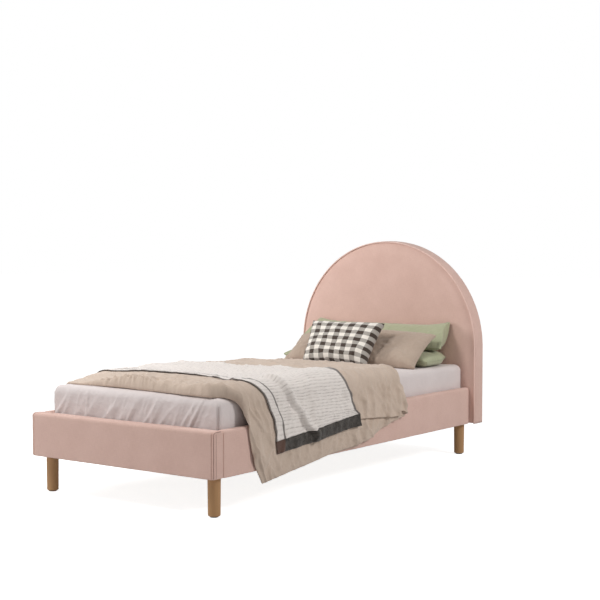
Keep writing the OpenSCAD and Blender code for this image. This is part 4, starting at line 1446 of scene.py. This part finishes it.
@dataclass(frozen=True)
class Section:
    """The line that the bedding follows across the bed, measured from the bed's middle."""

    shoulder_r: float = 45.0
    hip_r: float = 40.0
    slope: float = 70.0
    lay_gap: float = 0.8
    edge_inset: float = 28.5
    rail_gap: float = 2.3

    @property
    def turns(self) -> tuple[float, ...]:
        """Places along the line where it starts and stops bending, and its fixed points.

        Returns:
            Four places along the line, then X and Z of the upper bend's middle, X of the
            hanging part and Z of the lower bend's middle.
        """
        sx = BED.sheet_w / 2 - self.edge_inset
        sz = BED.sheet_top + self.lay_gap - self.shoulder_r
        dx = BED.frame_w / 2 + self.rail_gap
        si, co = float(sind(self.slope)), float(cosd(self.slope))
        run = (dx - self.hip_r + self.hip_r * si - sx - self.shoulder_r * si) / co
        hz = sz + self.shoulder_r * co - run * si - self.hip_r * co
        s1, s2 = sx, sx + self.shoulder_r * math.radians(self.slope)
        s3 = s2 + run
        return s1, s2, s3, s3 + self.hip_r * math.radians(90 - self.slope), sx, sz, dx, hz

    def tilt(self, d: Array) -> Array:
        """Angle of the line to the bed's top, in degrees."""
        s1, s2, s3, s4 = self.turns[:4]
        return np.interp(d, [0, s1, s2, s3, s4, 4000], [0, 0, self.slope, self.slope, 90, 90])

    def lay(self, s: Array, y: Array, off: Array) -> Array:
        """Points that lie at a distance off outside the line.

        Args:
            s: Distance along the line, positive to the right.
            y: Place along the bed.
            off: Distance outside the line.

        Returns:
            Points in millimetres.
        """
        s1, s2, s3, s4, sx, sz, dx, hz = self.turns
        s, y, off = np.broadcast_arrays(s, y, off)
        d = np.abs(s)
        a = self.tilt(d)
        si, co = sind(a), cosd(a)
        rs, rh = self.shoulder_r, self.hip_r
        where = [d < s1, d < s2, d < s3, d < s4]
        round_x, round_z = sx + rs * si, sz + rs * co
        x = np.select(where, [d, round_x, round_x + (d - s2) * co, dx + rh * (si - 1)], dx)
        z = np.select(where, [sz + rs + 0 * d, round_z, round_z - (d - s2) * si, hz + rh * co],
                      hz - (d - s4))
        return np.stack([np.sign(s) * (x + off * si), y, z + off * co], -1)

    def down_to(self, z: float) -> float:
        """Distance along the line down to a height on the hanging part."""
        return self.turns[3] + self.turns[7] - z


@dataclass(frozen=True)
class EdgeLine:
    """The wavy line of one edge of the bedding, as distances from a straight one."""

    points: tuple[tuple[float, float], ...]

    def __call__(self, s: Array) -> Array:
        """Gives the distance at places across the bed, with the corners of the line softened.

        Args:
            s: Places across the bed.

        Returns:
            The distances.
        """
        x, y = zip(*self.points)
        weights = ((-36, 1), (-18, 2), (0, 3), (18, 2), (36, 1))
        return sum(np.interp(s + d, x, y) * w for d, w in weights) / 9


EDGE_PLACES = (0.0, 1.5, 4.0, 8.0, 13.0, 19.0)


@dataclass
class Bedding:
    """Duvet with its turned back end, and the throw with its bands."""

    section: Section = field(default_factory=Section)
    soft: Ripple = field(default_factory=lambda: Ripple(seed=41))
    fine: Ripple = field(default_factory=lambda: Ripple(seed=43))
    duvet_foot: float = 85.0
    duvet_head: float = 1440.0
    turn_foot: float = 740.0
    throw_foot: float = 350.0
    throw_w: float = 550.0
    band_w: float = 50.0
    gap: float = 1.5
    duvet_left_z: float = 140.0
    duvet_right_z: float = 100.0
    turn_z: float = 288.0
    throw_left_z: float = 250.0
    throw_right_z: float = 207.0
    edge_from: float = 428.0
    edge_run: float = 105.0
    head_inward: float = 160.0
    duvet_t: float = 46.0
    drop_t: float = 7.0
    turn_foot_t: float = 14.0
    turn_head_t: float = 8.4
    turn_drop_t: float = 5.0
    turn_crease: float = 2.2
    throw_t: float = 3.0
    throw_rise: float = 55.0
    duvet_foot_line: EdgeLine = EdgeLine((
        (-800, 190), (-680, 150), (-560, 120), (-480, 75), (-430, 62), (-126, 57), (65, 34),
        (246, 12), (400, 0), (430, 8), (450, 40), (465, 84), (490, 99), (540, 109), (570, 110),
        (648, 129), (729, 149), (810, 203), (850, 222)))
    duvet_head_line: EdgeLine = EdgeLine((
        (-800, -40), (-430, 0), (120, 0), (320, -50), (440, -112), (480, -108), (540, -114),
        (588, -104), (622, -92), (650, -118), (690, -150)))
    duvet_rise_line: EdgeLine = EdgeLine((
        (285, 0), (500, 28), (737, 58), (912, 68), (990, 79), (1097, 102), (1161, 129),
        (1292, 157), (1440, 165)))
    throw_foot_line: EdgeLine = EdgeLine((
        (-700, 0), (-560, -10), (-440, 0), (-330, 2), (-217, 20), (-107, 74), (-53, 92), (32, 98),
        (106, 78), (194, 36), (333, -55), (400, -110), (432, -128), (450, -72), (470, -36),
        (500, -14), (540, 2), (580, 6), (640, 16), (720, 28)))
    throw_head_line: EdgeLine = EdgeLine((
        (-700, 30), (-440, -30), (-200, -60), (60, -80), (250, -60), (400, -20), (445, -45),
        (480, -30), (560, 0), (640, 36), (720, 34)))
    throw_fold_line: tuple[tuple[float, float], ...] = (
        (380, 385), (440, 420), (505, 478), (545, 512), (570, 528), (600, 545), (641, 600))

    def fold(self, s: Array, y: Array) -> Array:
        """Broad folds in everything that hangs.

        Args:
            s: Distance across the bed, along the bedding's line.
            y: Place along the bed.

        Returns:
            Height in millimetres.
        """
        d = np.abs(s)
        return 6 * ease((d - self.section.turns[1]) / 200) * (
            0.5 + 0.5 * cosd(y * 0.95 + 60 * sind(y * 0.31) + np.sign(s) * 70))

    def thinner(self, top: Array, drop: float, s: Array) -> Array:
        """Goes from a thickness on the bed's top to the one where it hangs down."""
        return blend(top, drop, ease((np.abs(s) - self.edge_from) / self.edge_run))

    def duvet_depth(self, s: Array, y: Array) -> Array:
        """Thickness of the duvet with the swell of its filling.

        Args:
            s: Distance across the bed, along the section.
            y: Place along the bed.

        Returns:
            Thickness in millimetres.
        """
        d = y - BED.foot_y
        swell = 0.55 + 0.27 * sind(0.62 * s + 0.21 * y + 30) + 0.18 * cosd(0.72 * y - 0.3 * s)
        ridge = 13 * np.exp(-(((s - 405) / 70) ** 2)) * (0.65 + 0.35 * sind(0.7 * y + 200))
        hollow = 16 * ease((-s - 180) / 240) * ease((d - 500) / 280)
        loft = blend(1.0, 0.42, np.clip((d - 500) / 940, 0, 1))
        loft = loft * (1 - 0.8 * ease((-s - 100) / 300) * (1 - ease((d - 130) / 270)))
        full = loft * (self.duvet_t * (0.72 + 0.28 * swell) + (ridge - hollow))
        return self.thinner(full, self.drop_t, s)

    def turn_depth(self, s: Array, y: Array) -> Array:
        """Thickness of the layer that is turned back."""
        share = np.clip((y - BED.foot_y - self.turn_foot) / 700, 0, 1)
        return self.thinner(blend(self.turn_foot_t, self.turn_head_t, share), self.turn_drop_t, s)

    def duvet_edges(self, s: Array) -> tuple[Array, Array]:
        """Foot and head edge of the duvet."""
        return (BED.foot_y + self.duvet_foot + self.duvet_foot_line(s),
                BED.foot_y + self.duvet_head + self.duvet_head_line(s))

    def throw_edges(self, s: Array) -> tuple[Array, Array]:
        """Foot and head edge of the throw."""
        return (BED.foot_y + self.throw_foot + self.throw_foot_line(s),
                BED.foot_y + self.throw_foot + self.throw_w + self.throw_head_line(s))

    def crumple(self, s: Array, y: Array) -> Array:
        """Creases that all layers share, softer where the throw presses on them.

        Args:
            s: Distance across the bed, along the section.
            y: Place along the bed.

        Returns:
            Height in millimetres.
        """
        d = np.abs(s)
        foot, _ = self.duvet_edges(s)
        first, last = self.throw_edges(s)
        under = ease((y - first + 60) / 75) * ease((last - y + 10) / 60)
        flat = 1 - ease((d - 440) / 60)
        warp = self.soft.swell(s, y, height=26, pitch=(150, 150))
        billow = self.soft.swell(s, y, height=4.5, pitch=(190, 120), shift=(3, 0))
        crease = self.soft.crease(s + warp, y + 0.25 * s + warp, height=5.5, pitch=(165, 74),
                                  width=0.17)
        strength = self.fine.swell(s, y, height=1.0, pitch=(160, 130)) + 0.5
        crease = crease * (0.35 + 0.65 * ease(strength))
        small = self.fine.crease(s - warp, y + warp, height=3.4, pitch=(70, 52), width=0.15,
                                 shift=(0, 5))
        up = y - foot
        near = np.exp(-np.clip(up, 0, 900) / 105)
        bunch = 0.35 + 1.0 * np.exp(-(((s + 80) / 190) ** 2))
        gather = near * bunch * (
            self.fine.crease(s + 0.8 * up, up, height=12.0, pitch=(40, 150), width=0.24)
            + self.soft.crease(s - 0.3 * up, up, height=7.0, pitch=(26, 110), width=0.25,
                               shift=(9, 0)))
        calm = 0.5 + 0.5 * ease((s + 340) / 230)
        top = flat * calm * (billow + 1.25 * crease + 1.2 * small + gather)
        hang = ease((d - 450) / 90)
        tall = self.soft.crease(y + 0.28 * d, d, height=11.0, pitch=(84, 340), width=0.14,
                                shift=(11, 0))
        slant = self.fine.crease(y - 0.5 * d, d, height=6.5, pitch=(66, 260), width=0.12,
                                 shift=(2, 0))
        return (top + hang * (tall + slant) * 1.2) * (1 - 0.62 * under)

    def throw_fold(self, s: Array, y: Array) -> Array:
        """Height of the one big fold of the throw, which runs down over the bed's right edge.

        Args:
            s: Distance across the bed, along the section.
            y: Place along the bed.

        Returns:
            Height in millimetres.
        """
        line = np.interp(s, *zip(*self.throw_fold_line))
        g = (y - BED.foot_y - line) / 30
        ridge = ease((g + 0.3) / 0.5) * (1 - ease((g - 0.4) / 1.7))
        return 24.0 * ridge * ease((s - 390) / 60) * (1 - ease((s - 650) / 60))

    def duvet_skin(self, s: Array, y: Array) -> Array:
        """Height of the duvet's outer side over the section, away from its edges."""
        return self.fold(s, y) + self.duvet_depth(s, y) + self.crumple(s, y)

    @staticmethod
    def denser(length: float, step: float, fine: float, first: float, last: float) -> Array:
        """Places from 0 to a length with a finer step between two of them.

        Args:
            length: Full length.
            step: Usual distance between places.
            fine: Distance between places in the finer part.
            first: Start of the finer part.
            last: End of the finer part.

        Returns:
            The places, in order.
        """
        ends = np.array(EDGE_PLACES)
        at = np.linspace(0, length, 4001)
        wanted = np.where((at > first) & (at < last), fine, step)
        wanted = np.convolve(np.pad(wanted, 40, mode="edge"), np.ones(81) / 81, "valid")
        count = np.concatenate([[0], np.cumsum(np.diff(at) / wanted[1:])])
        even = np.interp(np.linspace(0, count[-1], round(count[-1])), count, at)
        inner = even[(even > 22) & (even < length - 22)]
        return np.concatenate([ends, inner, length - ends[::-1]])

    @staticmethod
    def spaced(length: float, step: float, edges: Sequence[float] = EDGE_PLACES) -> Array:
        """Places from 0 to a length, closer together at both ends.

        Args:
            length: Full length.
            step: Distance between places away from the ends.
            edges: Places near each end.

        Returns:
            The places, in order.
        """
        near = np.array(edges, float)
        count = max(3, round((length - 2 * near[-1]) / step))
        middle = np.linspace(near[-1], length - near[-1], count)[1:-1]
        return np.concatenate([near, middle, length - near[::-1]])

    @staticmethod
    def round_off(full: Array, rim: float, d: Array, r: float) -> Array:
        """Full thickness inside an edge that rounds off over a distance."""
        return rim + (full - rim) * np.sqrt(1 - (1 - np.clip(d / r, 0, 1)) ** 2)

    def duvet(self) -> Piece:
        """Makes the duvet.

        Returns:
            The new piece.
        """
        left, right = (self.section.down_to(z) for z in (self.duvet_left_z, self.duvet_right_z))
        s4 = self.section.turns[3]
        s = self.denser(left + right, step=7.0, fine=4.2, first=left - 330, last=left + 60)
        s = s[:, None] - left
        run = self.duvet_head - self.duvet_foot
        q = self.denser(run, step=7.5, fine=4.0, first=-30, last=110)[None, :] / run
        over = np.clip((s - s4) / (right - s4), 0, None)
        first, last = self.duvet_edges(s)[0], self.duvet_edges(s - self.head_inward * over)[1]
        y = blend(first, last, q)
        t = s - over * self.duvet_rise_line(y - BED.foot_y)
        gap = np.minimum(y - first, last - y)
        hem = np.where(s < 0, left + s, right - s)
        full = self.duvet_depth(t, y)
        depth = self.round_off(self.round_off(full, rim=3, d=gap, r=26), rim=3, d=hem, r=14)
        lift = self.fold(t, y) + 0.22 * np.maximum(0, full - depth)
        crease = self.crumple(t, y) * ease(gap / 22 + 0.4) * ease(hem / 16 + 0.4)
        hang = ease((np.abs(t) - 455) / 60)
        outer = self.section.lay(t, y, lift + np.maximum(depth + crease, 2.5))
        inner = self.section.lay(t, y, lift + np.maximum(0, crease) * hang)
        return Modeller.shell("duvet_beige", outer, inner, joined(s, y))

    def turned_end(self) -> Piece:
        """Makes the head end of the duvet that is folded back onto it.

        Returns:
            The new piece.
        """
        hem, s4 = self.section.down_to(self.turn_z), self.section.turns[3]
        s = self.spaced(2 * hem, step=7.5)[:, None] - hem
        run = self.duvet_head - self.turn_foot
        q = self.spaced(run, step=7.5)[None, :] / run
        first = np.full_like(s, BED.foot_y + self.turn_foot)
        last = BED.foot_y + self.duvet_head - 3 + self.duvet_head_line(s)
        y = blend(first, last, q)
        gap = np.minimum(y - first, last - y)
        d = y - BED.foot_y
        fall = 20 * np.clip((d - 980) / 260, 0, 1) - 22 * np.exp(-(((d - 1296) / 24) ** 2))
        t = s + np.clip((s - s4) / (hem - s4), 0, None) * fall
        depth = self.round_off(self.turn_depth(t, y), rim=3, d=gap, r=20)
        depth = self.round_off(depth, rim=3, d=hem - np.abs(s), r=12)
        lift = self.duvet_skin(t, y) + self.gap
        own = ease(gap / 20) * self.fine.crease(t, y + 0.3 * t, height=self.turn_crease,
                                                pitch=(85, 60), width=0.18, shift=(20, 0))
        rolled = 3.5 + 4.0 * ease((d - 950) / 60)
        own = own + rolled * ease((s - s4 + 20) / 20) * np.exp(-(hem - s) / 11)
        outer, inner = self.section.lay(t, y, lift + depth + own), self.section.lay(t, y, lift)
        return Modeller.shell("duvet_turned_end", outer, inner, joined(s, y))

    def throw_part(self, name: str, s: Array) -> Piece:
        """Makes one part of the throw.

        Args:
            name: Name of the piece.
            s: Places across the bed where it has points.

        Returns:
            The new piece.
        """
        s = s[:, None]
        right, s4 = self.section.down_to(self.throw_right_z), self.section.turns[3]
        q = self.spaced(self.throw_w, step=7.0, edges=(0, 2, 6, 14))[None, :] / self.throw_w
        first, last = self.throw_edges(s)
        y = blend(first, last, q)
        t = s - np.clip((s - s4) / (right - self.band_w - s4), 0, 1) * self.throw_rise * q
        step = ease((y - BED.foot_y - self.turn_foot + 190) / 100)
        own = self.fine.crease(y + 0.2 * t, t, height=1.3, pitch=(70, 190), width=0.25,
                               shift=(0, 30))
        own = own + self.fine.swell(t, y, height=0.3, pitch=(40, 45)) + 0.3
        wavy = self.fine.swell(s, 0 * y, height=1.0, pitch=(95, 1), shift=(60, 0))
        raised = (8.0 + 2.5 * wavy) * (0.25 + 0.75 * ease((np.abs(s) - 400) / 60))
        curl = np.exp(-(y - first) / 14) * (1.2 + 1.2 * wavy) + np.exp(-(last - y) / 10) * raised
        turned = self.turn_depth(t, y) + self.turn_crease + self.gap
        lift = self.duvet_skin(t, y) + self.gap + turned * step
        lift = lift + own + np.maximum(0, curl) + self.throw_fold(t, y)
        outer = self.section.lay(t, y, lift + self.throw_t)
        middle = outer[:, outer.shape[1] // 2]
        run = run_along(middle)
        uv = joined((run[-1] - run)[:, None], q * self.throw_w)
        return Modeller.shell(name, outer, self.section.lay(t, y, lift), uv)

    def build(self) -> None:
        """Makes and dresses all four layers."""
        duvet = dress(self.duvet(), BEIGE, "duvet", ["duvet"])
        turned = dress(self.turned_end(), BEIGE, "duvet", ["duvet_turn_back"])
        left, right = (self.section.down_to(z) for z in (self.throw_left_z, self.throw_right_z))
        s = np.linspace(-left + self.band_w + BED.slip, right - self.band_w - BED.slip, 190)
        throw = dress(self.throw_part("bed_throw", s), THROW, "throw", ["throw"])
        for name, start in (("throw_band_left", -left), ("throw_band_right", right - self.band_w)):
            band = self.throw_part(name, np.linspace(start, start + self.band_w, 9))
            dress(band, BAND, "throw", ["throw_bands"])
        length = (left + right - 2 * self.band_w) * MM


@dataclass
class Pillow:
    """A filled pillow in its own plane, with puckers at its seam and pointed corners."""

    name: str
    w: float
    d: float
    drawn: float
    seed: int
    wrinkle: float
    narrow: float = 0.0
    front: Callable[[Array, Array], Array] = lambda u, v: 0 * u * v
    back: Callable[[Array, Array], Array] = lambda u, v: 0 * u * v

    def plane(self) -> tuple[Array, Array]:
        """Shares from -1 to 1 over the width and the depth, closer together at the seams.

        Returns:
            The shares over the width, and over the depth.
        """
        u = -np.cos(np.linspace(0, math.pi, round(self.w / 6)))
        v = -np.cos(np.linspace(0, math.pi, round(self.d / 5)))
        return u[:, None], v[None, :]

    def creases(self, u: Array, v: Array, side: int) -> Array:
        """Height of the puckers and creases on one side.

        Args:
            u: Share of the width.
            v: Share of the depth.
            side: 0 for the front and 1 for the back.

        Returns:
            Height in millimetres.
        """
        ripple = Ripple(seed=self.seed + side)
        x, y = u * self.w / 2 + 0 * v, v * self.d / 2 + 0 * u
        edge_x, edge_y = self.w / 2 - np.abs(x), self.d / 2 - np.abs(y)
        short = ripple.crease(y, edge_x, height=3.4, pitch=(17, 90), width=0.3)
        long = ripple.crease(x, edge_y, height=3.4, pitch=(19, 90), width=0.3, shift=(9, 0))
        corner = ripple.crease(edge_x - edge_y, 0 * x, height=3.0, pitch=(20, 1), width=0.35,
                               shift=(0, 3))
        broad = (ripple.swell(x, y, height=2.88, pitch=(110, 80), shift=(5, 0))
                 + ripple.crease(x + 0.5 * y, y, height=2.88, pitch=(120, 70)))
        rim = dome(u, v, across=4, along=4)
        return self.wrinkle * (
            short * np.exp(-edge_x / 26) * ease(edge_x / 9)
            + long * np.exp(-edge_y / 24) * ease(edge_y / 9)
            + rim * (corner * np.exp(-np.hypot(edge_x, edge_y) / 60) + broad))

    def build(self) -> tuple[Array, Array, Array]:
        """Makes both sides in the pillow's own plane.

        Returns:
            Points of the front, points of the back, and the cloth map.
        """
        u, v = self.plane()
        ear = 0.012 * (np.abs(u) ** 14) * (np.abs(v) ** 14)
        x = self.w / 2 * u * (1 - self.drawn * (1 - v * v) + ear) * (1 - self.narrow * (1 - v) / 2)
        y = self.d / 2 * v * (1 - 1.6 * self.drawn * (1 - u * u) + ear)
        crown = dome(u, v, across=4, along=4)
        wave = Ripple(seed=self.seed + 7).swell(u * self.w, v * self.d, height=1.4, pitch=(90, 90))
        front = 0.8 + wave * crown + self.front(u, v) * crown + self.creases(u, v, 0)
        back = -0.8 + wave * crown - self.back(u, v) * crown - self.creases(u, v, 1)
        uv = joined(self.w / 2 * u + 0 * v, self.d / 2 * v + 0 * u)
        return np.stack([x, y, front], -1), np.stack([x, y, back], -1), uv


@dataclass
class Pillows:
    """The four pillows at the head of the bed."""

    green_w: float = 870.0
    green_low_h: float = 74.0
    green_low_d: float = 292.0
    green_up_d: float = 155.0
    back_y: float = 931.0

    @staticmethod
    def leaned(points: Array, lean: float, rise: float, at: tuple[float, float, float]) -> Array:
        """Leans a pillow back and sets it on the bed.

        Args:
            points: Points in the pillow's own plane.
            lean: Lean from the bed, in degrees.
            rise: Distance from its lower edge to its middle.
            at: Place of the lower edge's middle.

        Returns:
            Points in place.
        """
        x, y, z = points[..., 0], points[..., 1], points[..., 2]
        y, co, si = y + rise, cosd(lean), sind(lean)
        return np.stack([x + at[0], y * co - z * si + at[1], y * si + z * co + at[2]], -1)

    def beige(self) -> None:
        """Makes and dresses the beige pillow."""
        pillow = Pillow(
            "beige_long_pillow", w=800, d=248, drawn=0.03, seed=61, wrinkle=1.7,
            front=lambda u, v: (
                58 - 22 * (1 - ease((np.abs(u) - 0.4) / 0.4)) * ease((0.9 - v) / 0.5)),
            back=lambda u, v: 19 - 4 * v)
        front, back, uv = pillow.build()
        for side in (front, back):
            low = ease((-side[..., 0] - 210) / 180)
            side[..., 1] -= 50 * low * ease((side[..., 1] + 70) / 190)
            side[..., 0] += 22 * low
        at = (12.0, BED.foot_y + 1580, BED.sheet_top + 7)
        skins = [self.leaned(side, lean=36, rise=124, at=at) for side in (front, back)]
        piece = Modeller.shell(pillow.name, *skins, uv)
        dress(piece, SAND, "beige_pillow", ["beige_pillow"])

    def checked(self) -> None:
        """Makes and dresses the checked cushion."""
        pillow = Pillow(
            "checked_small_cushion", w=425, d=240, drawn=0.05, seed=71, wrinkle=1.9, narrow=0.13,
            front=lambda u, v: 58 + 0 * u * v, back=lambda u, v: 38 - 6 * v + 0 * u)
        front, back, uv = pillow.build()
        at = (-5.0, BED.foot_y + 1505, BED.sheet_top + 9)
        skins = [self.leaned(side, lean=57, rise=120, at=at) for side in (front, back)]
        piece = Modeller.shell(pillow.name, *skins, uv)
        dress(piece, CHECK, "checked_cushion", ["checked_cushion"])

    def green_lower(self) -> None:
        """Makes and dresses the lower green pillow, pressed flat above and below."""
        pillow = Pillow("green_pillow_below", w=self.green_w, d=self.green_low_d, drawn=0.02,
                        seed=81, wrinkle=0.7)
        u, v = pillow.plane()
        h, z = self.green_low_h, BED.sheet_top + 2.6
        x = pillow.w / 2 * u * (1 - pillow.drawn * (1 - v * v)) * (1 - 0.15 * ease(v))
        y = self.back_y - pillow.d / 2 + pillow.d / 2 * v + 0 * u
        low = dome(u, v, across=24, along=8)
        high = dome(u, np.abs(v), across=18, along=np.where(v < 0, 2, 6))
        out = ease((1 - np.abs(v)) / 0.3)
        puckers = pillow.creases(u, v, 0)
        top = z + h * (0.4 + 0.54 * high) - 1.5 * out + (0.35 * puckers + 0.8) * (1 - high)
        under = z + (h * 0.4 + 0.2 * puckers) * (1 - low)
        skins = joined(x, y, top), joined(x, y, under)
        piece = Modeller.shell(pillow.name, *skins, joined(x, y))
        dress(piece, SAGE, "lower_green_pillow", ["green_pillow_lower"])

    def green_upper(self) -> None:
        """Makes and dresses the upper green pillow, pushed up against the headboard."""
        pillow = Pillow("green_pillow_above", w=self.green_w, d=self.green_up_d, drawn=0.03,
                        seed=91, wrinkle=0.9)
        u, v = pillow.plane()
        t = (v + 1) / 2
        floor = BED.sheet_top + BED.slip + 1 + 0.98 * self.green_low_h + BED.slip
        x = pillow.w / 2 * u * (1 - pillow.drawn * (1 - v * v)) * (1 - 0.085 * ease(t))
        y = self.back_y - 5 - pillow.d + pillow.d * t + 0 * u
        rim = floor + blend(14.0, 114.0, sind(90 * t)) + 22 * u ** 6 * t
        crown = dome(u, v, across=6, along=4)
        low = dome(u, v, across=22, along=10)
        puckers = pillow.creases(u, v, 0)
        top = rim + 1 + 7 * crown + 0.8 * puckers
        under = blend(rim - 1, floor, low)
        skins = joined(x, y, top), joined(x, y, under)
        piece = Modeller.shell(pillow.name, *skins, joined(x, y * 1.2))
        dress(piece, SAGE, "upper_green_pillow", ["green_pillow_upper"])

    def build(self) -> None:
        """Makes all four."""
        self.green_lower()
        self.green_upper()
        self.beige()
        self.checked()


@dataclass
class Studio:
    """Camera, lamps, floor and white surroundings."""

    eye: tuple[float, float, float] = (3.5716, -4.6329, 1.0134)
    yaw: float = 36.489
    pitch: float = 2.187
    lens: float = 76.06
    sensor: float = 36.0

    def camera(self) -> None:
        """Sets the camera."""
        data = bpy.data.cameras.new("camera")
        data.lens, data.sensor_width = self.lens, self.sensor
        camera = add_object("camera", data)
        camera.location = self.eye
        camera.rotation_euler = (math.radians(90 - self.pitch), 0, math.radians(self.yaw))
        bpy.context.scene.camera = camera

    def lamp(self, name: str, at: tuple[float, float, float], to: tuple[float, float, float],
             size: float, power: float) -> None:
        """Adds one square lamp.

        Args:
            name: Name of the lamp.
            at: Where it hangs.
            to: Point that it faces.
            size: Side of its square.
            power: Power in watts.
        """
        data = bpy.data.lights.new(name, "AREA")
        data.energy, data.size = power, size
        lamp = add_object(name, data)
        lamp.location = at
        lamp.rotation_euler = (Vector(to) - Vector(at)).to_track_quat("-Z", "Y").to_euler()

    def world(self) -> None:
        """Sets a pale surround that the camera sees as white."""
        world = bpy.data.worlds.new("surround")
        bpy.context.scene.world = world
        p = Paint(world)
        soft, white = (p.node("Background", None, {"Color": tone, "Strength": strength})
                       for tone, strength in (((1, 0.99, 0.975), 0.30), ((1, 1, 1), 1.0)))
        seen = p.rays("Camera", "Glossy", "Transmission")
        mix = p.node("MixShader", None, {0: seen, 1: soft.outputs[0], 2: white.outputs[0]})
        p.node("OutputWorld", None, {"Surface": mix.outputs[0]})

    def floor(self) -> None:
        """Adds the pale floor."""
        side, low = 40000.0, -0.5
        signs = ((-1, -1), (1, -1), (1, 1), (-1, 1))
        corners = np.array([[x * side, y * side, low] for x, y in signs])
        floor = Modeller.piece("floor", corners, [(0, 1, 2, 3)])
        pale = bpy.data.materials.new("pale_floor")
        p = Paint(pale)
        base = p.node("BsdfDiffuse", None, {"Color": (0.66, 0.66, 0.66)}).outputs[0]
        glow = p.node("Emission", None, {"Color": (1.0, 1.0, 1.0), "Strength": 0.84}).outputs[0]
        both = p.node("AddShader", None, {0: base, 1: glow}).outputs[0]
        mix = p.node("MixShader", None, {0: p.rays("Camera", "Glossy"), 1: base, 2: both})
        p.node("OutputMaterial", None, {"Surface": mix.outputs[0]})
        floor.data.materials.append(pale)

    def build(self) -> None:
        """Sets up the whole studio."""
        self.camera()
        self.world()
        self.floor()
        self.lamp("upper_softbox", at=(-0.6, -2.1, 3.0), to=(0.1, 0.3, 0.4), size=0.9, power=49)
        self.lamp("left_softbox", at=(-1.9, -0.7, 1.35), to=(0.0, 0.95, 0.8), size=0.8, power=22)
        self.lamp("front_softbox", at=(-2.2, -3.4, 0.7), to=(0.0, -0.9, 0.4), size=0.8, power=14)
        self.lamp("right_softbox", at=(3.6, 0.7, 2.4), to=(0.3, -0.2, 0.4), size=0.8, power=62)
        bpy.context.scene.view_settings.view_transform = "Standard"


def main() -> None:
    """Builds the studio and every part of the bed, in order."""
    logging.basicConfig(level=logging.INFO, format="%(message)s")
    Studio().build()
    CarriedParts().dress()
    Headboard().build()
    PaddedRails().build()
    MattressAndSheet().build()
    Bedding().build()
    Pillows().build()


if __name__ == "__main__":
    main()
